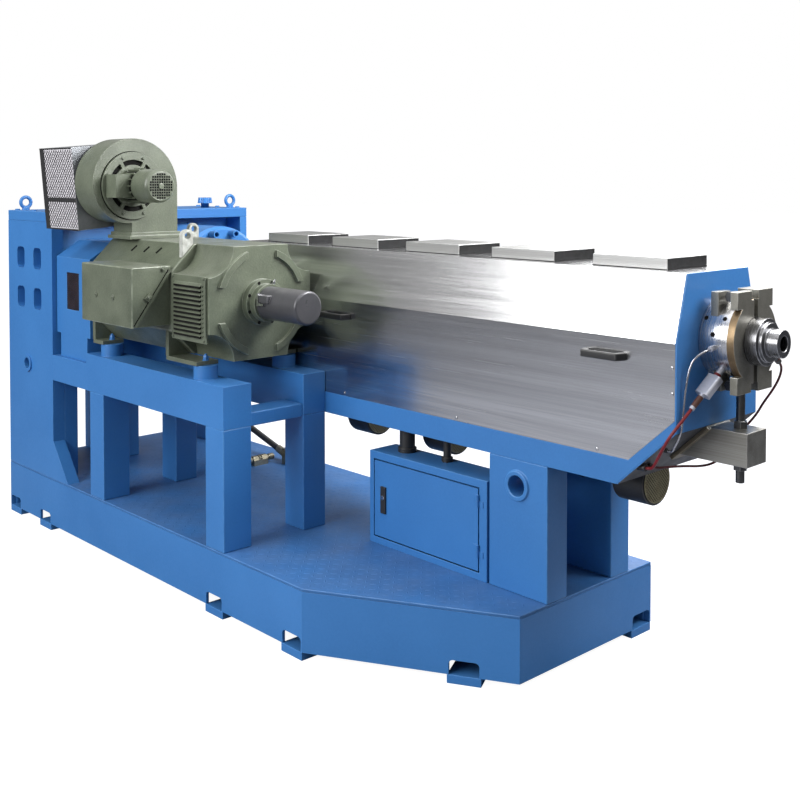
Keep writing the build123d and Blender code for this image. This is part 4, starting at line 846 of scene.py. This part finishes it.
# Lifting lugs: flame-cut plates with an eye, welded to the yoke's upper corners,
# white paint worn to grey where hooks have pulled.
worn_white = coated(
    "worn white paint", (0.52, 0.53, 0.50), (0.27, 0.28, 0.25), 0.46, (0.20, 0.21, 0.18),
    wear=0.6, dust=0.2, patch=40, speck_scale=260, depth=0.0006, strength=0.4,
)
eased("motor_lifting_lugs", 0.003, worn_white)

# Blower: a spiral fan casing of rolled sheet on a flanged foot, with its own finned motor
# and a cast inlet ring, all painted with the motor; the air gap in the inlet, the fin roots and a line round
# the inlet ring are painted shade.
for node, width in (("blower_base", 0.002), ("blower_casing", 0.003), ("blower_motor", 0.0015)):
    eased(node, width, motor_paint)
blower_y = -0.609
blower_z = 1.527
ring_face = 1.014
ring_bolt_circle = 0.120
ring_bolt_count = 8
ring_bolt = (0.007, 0.007, 6)
cowl_face = 1.228
cowl_nut = (0.012, 0.004)
# Painted shade: a dark disc on the floor of the inlet recess, a dark sleeve at the fin roots and a dark ring
# round the inlet ring.
inlet_shade_disc = (1.0018, 1.0026, 0.1046)
fin_root_shade = (1.0225, 1.1095, 0.0628)
casing_shade_ring = 1.0025
casing_shade_ring_radius = 0.1375
casing_shade_ring_wire = 0.0020


def fan_axis(along):
    """A point on the blower's own axis."""
    return spot(along, blower_y, blower_z)


def hoop(bm, centre, way, radius, wire, steps=40, sides=6):
    """Add a closed wire ring round a centre to a bmesh."""
    turn = Vector(way).to_track_quat("Z", "Y").to_matrix()
    rows = []
    for step in range(steps):
        around = 2 * math.pi * step / steps
        out = turn @ Vector((math.cos(around), math.sin(around), 0))
        rows.append([])
        for side in range(sides):
            roll = 2 * math.pi * side / sides
            lifted = turn @ Vector((0, 0, wire * math.sin(roll)))
            rows[-1].append(bm.verts.new(Vector(centre) + out * (radius + wire * math.cos(roll)) + lifted))
    for step in range(steps):
        for side in range(sides):
            here, there = rows[step - 1], rows[step]
            bm.faces.new((here[side - 1], there[side - 1], there[side], here[side]))


ring_bolts = bmesh.new()
for seat in bolt_circle(ring_face, blower_y, blower_z, ring_bolt_circle, ring_bolt_count):
    screw(ring_bolts, seat, die_way, *ring_bolt)
screw(ring_bolts, fan_axis(cowl_face), die_way, *cowl_nut)
settle("blower_fasteners", ring_bolts, motor_paint)
# Dark pieces of painted shade where the blower's gaps fall into shadow.
blower_painted_shade = bmesh.new()
for start, end, radius in (inlet_shade_disc, fin_root_shade):
    bar(blower_painted_shade, fan_axis(start), fan_axis(end), radius, sides=48)
hoop(blower_painted_shade, fan_axis(casing_shade_ring), die_way, casing_shade_ring_radius, casing_shade_ring_wire, steps=64)
settle("blower_painted_shade", blower_painted_shade, shadow)

# Cowl grille: square air holes punched through the end of the fan motor's cowl, drawn as dark squares of
# painted shade, inside a rolled rim painted with the blower.
rim_setback = 0.004
rim_radius = 0.0555
rim_wire = 0.0042
grille_pitch = 0.0102
grille_hole = 0.0079
grille_rise = 0.0005
grille_hub = 0.015
grille_reach = 0.056
grille_rows = 5
cowl_rim = bmesh.new()
hoop(cowl_rim, fan_axis(cowl_face - rim_setback), die_way, rim_radius, rim_wire, steps=48, sides=8)
settle("cowl_rim", cowl_rim, motor_paint)
# The holes are dark squares of painted shade.
grille = bmesh.new()
for row in range(-grille_rows, grille_rows + 1):
    for column in range(-grille_rows, grille_rows + 1):
        across = (column + 0.5) * grille_pitch
        up = (row + 0.5) * grille_pitch
        if not grille_hub < math.hypot(across, up) < grille_reach - grille_hole / 2:
            continue
        foot = spot(cowl_face, blower_y + across, blower_z + up - grille_hole / 2)
        head = spot(cowl_face, blower_y + across, blower_z + up + grille_hole / 2)
        strip(grille, foot, head, grille_hole, grille_rise, die_way)
settle("cowl_grille_shade", grille, shadow)

# Inlet filter: a galvanised box with a front of dark woven wire over pale cloth, edged with black seal.
# It hangs on the blower's inlet side.
zinc_sheet = coated(
    "galvanised sheet", (0.255, 0.265, 0.285), (0.205, 0.215, 0.232), 0.50, (0.48, 0.50, 0.52),
    metal=0.75, dust=0.2, patch=14, speck_scale=70, depth=0.0002, strength=0.08,
)
filter_cloth = coated(
    "pale filter cloth", (0.66, 0.64, 0.67), (0.50, 0.485, 0.51), 0.85, (0.7, 0.7, 0.7),
    patch=60, grain_scale=900, depth=0.001, strength=0.6,
)
dark_wire = coated(
    "dark wire", (0.060, 0.055, 0.062), (0.030, 0.028, 0.032), 0.42, (0.2, 0.2, 0.2),
    metal=0.3, patch=40, grain_scale=600,
)
eased("filter_box", 0.003, zinc_sheet)
filter_way = (0, -0.996, -0.087)
filter_foot_y = -0.7586
filter_foot_z = 1.3433
filter_lean = 0.0296
filter_height = 0.3387
mesh_start = 0.589
mesh_width = 0.249
cloth_rise = 0.0006
wire_pitch = 0.0205
wire = (0.0024, 0.0009)


def filter_point(along, share, rise=0.0):
    """A point on the filter's leaning front, from its foot to its head."""
    face = spot(along, filter_foot_y - filter_lean * share, filter_foot_z + filter_height * share)
    return face + Vector(filter_way) * rise


cloth_sheet = bmesh.new()
cloth_foot, cloth_head = (filter_point(mesh_start + mesh_width / 2, share) for share in (0.02, 0.98))
strip(cloth_sheet, cloth_foot, cloth_head, mesh_width, cloth_rise, filter_way)
settle("filter_cloth", cloth_sheet, filter_cloth)
wires = bmesh.new()
wire_foot, wire_head = (filter_point(mesh_start, share, cloth_rise) for share in (0.03, 0.97))
weave(wires, wire_foot, (mesh_width, 0, 0), wire_head - wire_foot, wire_pitch, *wire, filter_way)
settle("filter_wires", wires, dark_wire)
seal = bmesh.new()
for along, share, far_along, far_share, rise, width, thickness in (
    (0.570, 0.0, 0.570, 1.0, 0.0, 0.036, 0.002),
    (0.590, 0.368, 0.838, 0.368, 0.002, 0.017, 0.001),
    (0.553, 0.992, 0.835, 0.992, 0.0, 0.005, 0.003),
    (0.553, 0.008, 0.835, 0.008, 0.0, 0.005, 0.003),
):
    near, far = filter_point(along, share, rise), filter_point(far_along, far_share, rise)
    strip(seal, near, far, width, thickness, filter_way)
settle("filter_seal", seal, black_rubber)

# Barrel: forged steel tube with banded heaters, joined to the feed throat at one end and carried
# by the saddle at the other, out of sight under the hood.
dull_steel = coated(
    "sanded bare steel", (0.30, 0.29, 0.255), (0.175, 0.170, 0.145), 0.38, (0.56, 0.55, 0.50),
    metal=0.8, wear=0.6, dust=0.2, patch=16, speck_scale=240, grain_scale=420, strength=0.35,
)
dress("barrel", dull_steel)

# Hood: stainless sheet brushed along its length, folded at the barrel's height and hung on the tray.
# Its two flanks and its top are separate panels.
fold_limit = math.radians(10)
brushing, enter, leave = effect(
    "brushing",
    {"Dull": 0.30, "Bright": 0.15, "Strength": 0.12, "Light": (0.70, 0.70, 0.71), "Dark": (0.50, 0.50, 0.51)},
    ("Colour", "Roughness", "Normal"),
)
strokes = noise(brushing, 6, stretch=(2.2, 330, 330))
strokes.inputs["Roughness"].default_value = 0.65
bands = noise(brushing, 2, stretch=(0.8, 26, 26))
banded = times((strokes, "Fac"), (bands, "Fac"))
stroke_gloss = ramp(brushing, 0.3, 0.7)
stroke_tone = ramp(brushing, 0.12, 0.38)
lift = brushing.nodes.new("ShaderNodeBump")
lift.inputs["Distance"].default_value = line_depth
join(strokes, "Fac", stroke_gloss, "Value")
join(enter, "Dull", stroke_gloss, "To Min")
join(enter, "Bright", stroke_gloss, "To Max")
join(banded, "Value", stroke_tone, "Value")
stroke_colour = colour_mix((stroke_tone, "Result"), (enter, "Dark"), (enter, "Light"))
join(strokes, "Fac", lift, "Height")
join(enter, "Strength", lift, "Strength")
join(stroke_colour, "Result", leave, "Colour")
join(stroke_gloss, "Result", leave, "Roughness")
join(lift, "Normal", leave, "Normal")


def brushed(name, bare, **values):
    """A sheet metal with brushed strokes and edges brightened towards its bare colour as wear and as a
    painted highlight.
    """
    material, shader = finish(name, bare, metal=1.0)
    drawn = place_effect(material, brushing, **values)
    # The rounded edges brighten towards the bare colour as a painted highlight and as wear.
    edges = place_effect(material, worn_and_lit_edges, Bare=bare, Amount=0.6, Scale=40)
    join(drawn, "Colour", edges, "Finish")
    join(edges, "Colour", shader, "Base Color")
    join(drawn, "Roughness", shader, "Roughness")
    join(drawn, "Normal", shader, "Normal")
    return material


stainless = brushed("brushed stainless", (0.82, 0.82, 0.82), Dull=0.28, Bright=0.14, Strength=0.10)
for node in ("hood_front_panel", "hood_rear_panel", "hood_top"):
    panel = eased(node, 0.0012, stainless)
    panel.data.set_sharp_from_angle(angle=fold_limit)

# Vent caps: five low folded covers over the heater zones' vents, in a duller rolled sheet,
# open at the ends, where a dark strip of painted shade fills each opening, with lines of painted shadow along
# their feet on the hood.
cap_sheet = brushed(
    "dull rolled sheet", (0.8, 0.8, 0.8), Dull=0.50, Bright=0.36, Strength=0.12,
    Light=(0.44, 0.44, 0.435), Dark=(0.33, 0.33, 0.325),
)
eased("vent_caps", 0.0012, cap_sheet)
painted_cap_shade = coated(
    "painted cap shade", (0.012, 0.012, 0.013), (0.006, 0.006, 0.006), 0.55, (0.03, 0.03, 0.03),
    gleam=0.2, patch=40, grain_scale=700,
)
zone_pitch = 0.419
zone_count = 5
first_cap_end = 1.511
cap_length = 0.266
end_shade_setback = 0.004
end_shade_half = 0.1045
end_shade_level = 1.309
end_shade_size = (0.031, 0.0045)
foot_shadow_half = 0.1085
foot_shadow_level = 1.293
foot_shadow_size = (0.004, 0.002)
# Painted shade in each cap's open end and painted shadow along both of its feet on the hood top.
cap_shade_strips = bmesh.new()
for zone in range(zone_count):
    cap_end = first_cap_end + zone_pitch * zone
    foot, head = (spot(cap_end - end_shade_setback, half, end_shade_level) for half in (-end_shade_half, end_shade_half))
    strip(cap_shade_strips, foot, head, *end_shade_size, die_way)
    for side in (-foot_shadow_half, foot_shadow_half):
        foot, head = (spot(along, side, foot_shadow_level) for along in (cap_end - cap_length, cap_end))
        strip(cap_shade_strips, foot, head, *foot_shadow_size, upwards)
settle("vent_cap_shade", cap_shade_strips, painted_cap_shade)

# Hood screws: bright pan heads that hold the panels, along their lower edges
# and down the seam at the die end.
pan_head = (0.005, 0.0025)
hood_side = 0.218
sill_level = 0.758
shoulder_side = 0.1905
shoulder_level = 1.1985
shoulder_lean = (0.963, 0.269)
hood_screws = bmesh.new()
for side in (-1, 1):
    way = (0, side, 0)
    for screw_at in (1.290, 1.867, 2.445, 3.021):
        screw(hood_screws, spot(screw_at, side * hood_side, sill_level), way, *pan_head)
    for screw_at, level in ((3.2765, 1.031), (3.277, 0.958)):
        screw(hood_screws, spot(screw_at, side * hood_side, level), way, *pan_head)
    shoulder_way = (0, side * shoulder_lean[0], shoulder_lean[1])
    screw(hood_screws, spot(3.2765, side * shoulder_side, shoulder_level), shoulder_way, *pan_head)
settle("hood_screws", hood_screws, turned)

# Handles: bowed black mouldings, two on each flank of the hood,
# screwed on from inside.
black_plastic = coated(
    "black moulding", (0.024, 0.024, 0.025), (0.014, 0.014, 0.015), 0.40, (0.10, 0.10, 0.10),
    wear=0.4, dust=0.15, patch=20, speck_scale=300, grain_scale=600, depth=0.0003,
)
eased("hood_handles", 0.004, black_plastic)

# Tray, end plates and pillar: welded blue sheet that carries the barrel; the end plate closes the
# hood and the tray at the die end and leans back below, where its downward faces are painted darker as
# painted shade.
enamelled(0.0015, "tray_sides", "hood_feed_plate", "barrel_saddle")
end_plate = eased("hood_end_plate", 0.0015, blue_paint)
underside_shade_paint = coated(
    "painted underside shade", (0.050, 0.053, 0.064), (0.030, 0.031, 0.036), 0.50, (0.09, 0.12, 0.18),
    wear=0.3, patch=12, speck_scale=160, grain_scale=260, depth=0.0006,
)
leaning = 0.3


def refinish(piece, material, picked):
    """Give the faces of a piece that a test picks a finish of their own."""
    piece.data.materials.append(material)
    for face in piece.data.polygons:
        if picked(face):
            face.material_index = len(piece.data.materials) - 1


# The end plate's faces that look down and towards the die are painted darker as painted shade.
refinish(end_plate, underside_shade_paint, lambda face: face.normal.z < -leaning and face.normal.x > leaning)
enamelled(0.004, "pillar_legs")

# Cooling fans: round black blowers on short ducts under the barrel, with a guard of brass-coloured
# woven wire in a ring over the inlet that looks towards the die. The cable glands of the control box
# are moulded in the same black.
eased("cooling_fans", 0.002, black_plastic)
eased("cable_glands", 0.001, black_plastic)
guard_wire = coated(
    "lacquered guard wire", (0.42, 0.38, 0.24), (0.28, 0.25, 0.155), 0.36, (0.55, 0.5, 0.36),
    metal=0.7, patch=40, grain_scale=600,
)
gauze = coated(
    "oily fan gauze", (0.075, 0.068, 0.042), (0.040, 0.036, 0.024), 0.6, (0.1, 0.1, 0.08),
    patch=60, grain_scale=700,
)
first_fan_face = 1.408
fan_level = 0.633
mouth_rise = 0.0006
guard_radius = 0.065
guard_ring_rise = 0.002
guard_ring_wire = 0.0018
guard_foot = 0.0008
guard_pitch = 0.0082
guard_rows = 7
guard_strand = (0.0026, 0.001)
guards = bmesh.new()
fan_mouths = bmesh.new()
for zone in range(zone_count):
    middle = spot(first_fan_face + zone_pitch * zone, 0, fan_level)
    bar(fan_mouths, middle, middle + Vector((mouth_rise, 0, 0)), guard_radius, sides=40)
    hoop(guards, middle + Vector((guard_ring_rise, 0, 0)), die_way, guard_radius, guard_ring_wire)
    for layer, degrees in enumerate((45, -45)):
        turn = math.radians(degrees)
        strand = Vector((0, math.cos(turn), math.sin(turn)))
        aside = Vector((0, -math.sin(turn), math.cos(turn)))
        rise = Vector((guard_foot + layer * guard_strand[1], 0, 0))
        for row in range(-guard_rows, guard_rows + 1):
            reach = math.sqrt(guard_radius ** 2 - (row * guard_pitch) ** 2)
            crossing = middle + aside * row * guard_pitch + rise
            strip(guards, crossing - strand * reach, crossing + strand * reach, *guard_strand, die_way)
settle("fan_mouths", fan_mouths, gauze)
settle("fan_guards", guards, guard_wire)

# Control box: folded sheet box under the barrel with a door on two loose-pin hinges, in the base's
# blue; the lock is a black plate with a bright key disc.
enamelled(0.0015, "control_box", "control_box_frame", "door_hinges")
eased("control_box_door", 0.003, blue_paint, "control_door")
eased("door_lock", 0.0015, black_plastic, "control_door")
lock_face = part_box("door_lock")[0].y
key_seat = Vector((spot(2.085, 0, 0).x, lock_face, 0.412))
key_head = (0.008, 0.002)
key_disc = bmesh.new()
screw(key_disc, key_seat, front_way, *key_head)
settle("lock_key_disc", key_disc, turned, "control_door")

# Die end: turned collar with sanded ears, a clamp in two cast halves with its bolts, and the gun-metal
# nozzle. Heat has tanned the clamp's rim, and the socket screw holes in the collar's flank are dark discs of
# painted shade.
collar_radius = 0.112
collar_start = 3.292
collar_end = 3.386
collar_edge = 0.0015
ear_start = 3.318
ear_depth = 0.024
ear_back = -0.023
clamp_radius = 0.120
rim_tolerance = 0.003
rim_squareness = 0.8
jaw_ear_rise = 0.0925
jaw_ear_front = spot(0, -0.0995, 0).y
hole_sink = 0.0008
hole_rise = 0.0005
tanned = coated(
    "heat-tanned steel", (0.25, 0.175, 0.098), (0.135, 0.096, 0.056), 0.40, (0.48, 0.38, 0.26),
    metal=0.75, wear=0.6, patch=22, speck_scale=240, grain_scale=420, strength=0.35,
)


def off_axis(face):
    """How far a face lies from the barrel axis, and how squarely it looks away from it."""
    out = face.center - Vector((face.center.x, axis_y, axis_z))
    return out.length, face.normal.dot(out.normalized())


def on_rim(face):
    """Whether a face belongs to the clamp's round outside."""
    reach, square = off_axis(face)
    return abs(reach - clamp_radius) < rim_tolerance and square > rim_squareness


def narrowed(corner):
    """Where a corner of the front jaw goes when its ears are cut back in front."""
    if abs(corner.z - axis_z) < jaw_ear_rise:
        return corner
    return Vector((corner.x, max(corner.y, jaw_ear_front), corner.z))


collar_blank = bmesh.new()
bar(collar_blank, spot(collar_start, 0, axis_z), spot(collar_end, 0, axis_z), collar_radius, sides=96)
for ear_front, ear_low, ear_high in ((-0.087, 1.165, 1.240), (-0.070, 0.956, 1.020)):
    ear_middle = (ear_front + ear_back) / 2
    foot, head = (spot(ear_start, ear_middle, level) for level in (ear_low, ear_high))
    strip(collar_blank, foot, head, ear_back - ear_front, ear_depth, die_way)
collar = settle("die_collar_eased", softened(collar_blank, collar_edge), turned)
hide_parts("die_collar")
refinish(collar, dull_steel, lambda face: off_axis(face)[0] > collar_radius + collar_edge)
for node, reshape in (("clamp_front_jaw", narrowed), ("clamp_rear_jaw", None)):
    jaw = eased(node, 0.0025, dull_steel, reshape=reshape)
    refinish(jaw, tanned, on_rim)
gun_metal = machined(
    "gun-metal steel", (0.26, 0.26, 0.27), (0.16, 0.16, 0.17), (0.66, 0.66, 0.68),
    Scale=700, Strength=0.25, Dull=0.36, Bright=0.2,
)
eased("nozzle", 0.002, gun_metal)
dark_steel = coated(
    "oiled steel", (0.15, 0.15, 0.15), (0.08, 0.08, 0.08), 0.30, (0.42, 0.42, 0.42),
    metal=0.95, wear=0.8, patch=30, speck_scale=400, grain_scale=600, depth=0.0003,
)
for node in ("clamp_bolts", "prop_screw"):
    eased(node, 0.001, dark_steel)
# Painted shade: a dark disc in each socket screw hole of the collar.
collar_hole_shade = bmesh.new()
for hole_at, degrees, radius in ((3.307, 145, 0.0065), (3.365, 144, 0.0065), (3.338, 169, 0.007)):
    turn = math.radians(degrees)
    out = Vector((0, math.cos(turn), math.sin(turn)))
    foot, head = (spot(hole_at, 0, axis_z) + out * (collar_radius + rise) for rise in (-hole_sink, hole_rise))
    bar(collar_hole_shade, foot, head, radius, sides=18)
settle("collar_screw_hole_shade", collar_hole_shade, shadow)

# Bracket: a brushed steel arm on a stained flange bolted to the tray's leaning end, in which a
# prop screw stands.
arm_steel = brushed(
    "brushed arm steel", (0.62, 0.61, 0.58), Dull=0.46, Bright=0.28, Strength=0.25,
    Light=(0.38, 0.37, 0.335), Dark=(0.25, 0.24, 0.21),
)
stained = coated(
    "stained flange steel", (0.23, 0.195, 0.135), (0.115, 0.100, 0.075), 0.45, (0.42, 0.37, 0.28),
    metal=0.6, wear=0.6, patch=22, speck_scale=240, grain_scale=420, depth=0.0005, strength=0.35,
)
flange_end = spot(3.27, 0, 0).x
arm = eased("bracket", 0.0025, arm_steel)
refinish(arm, stained, lambda face: face.center.x < flange_end)

# Fittings at the die end: a cast sensor block and plugs with brown sleeves shrunk over the cables,
# a red sealing ring on the sensor's neck, and the thin bright pressure pipe.
zinc_cast = coated(
    "bead-blasted zinc", (0.62, 0.63, 0.70), (0.48, 0.49, 0.55), 0.42, (0.7, 0.7, 0.74),
    metal=0.6, wear=0.6, patch=30, speck_scale=500, grain_scale=900, strength=0.4,
)
brown_sleeve = coated(
    "brown shrink sleeve", (0.105, 0.040, 0.026), (0.055, 0.022, 0.016), 0.42, (0.2, 0.1, 0.07),
    patch=40, grain_scale=700,
)
heater_plug_start = spot(3.40, 0, 0).x
sensor_end = spot(*sensor_route[0])
sensor_rise = Vector((0.2215, 0.6895, 0.6895))
plug_end = spot(*heater_route[0])
plug_rise = Vector((0, -0.819, 0.574))
neck_ring_start = 0.123
neck_ring_end = 0.131
neck_ring_radius = 0.0099
plugs = eased("cable_plugs", 0.0015, zinc_cast)
refinish(plugs, dark_steel, lambda face: face.center.x > heater_plug_start)
sleeves = bmesh.new()
for cable_end, rise, start, end, radius, far_radius in (
    (sensor_end, sensor_rise, 0.009, 0.046, 0.0084, 0.0088),
    (plug_end, plug_rise, -0.001, 0.020, 0.0075, 0.0097),
):
    bar(sleeves, cable_end + rise * start, cable_end + rise * end, radius, 20, far_radius)
settle("cable_sleeves", sleeves, brown_sleeve)
neck_rings = bmesh.new()
ring_foot, ring_head = (sensor_end + sensor_rise * reach for reach in (neck_ring_start, neck_ring_end))
bar(neck_rings, ring_foot, ring_head, neck_ring_radius, sides=24)
settle("sensor_neck_ring", neck_rings, red_sheath)
dress("pressure_pipe", turned)

# Oil fittings: hose tails, manifold and drain valve of plated steel,
# screwed together on the deck and into the gearbox's rear leg.
plated = coated(
    "plated fitting steel", (0.40, 0.37, 0.28), (0.26, 0.24, 0.18), 0.30, (0.6, 0.57, 0.45),
    metal=0.9, wear=0.6, dust=0.25, patch=30, speck_scale=300, grain_scale=600,
)
eased("oil_fittings", 0.0015, plated)
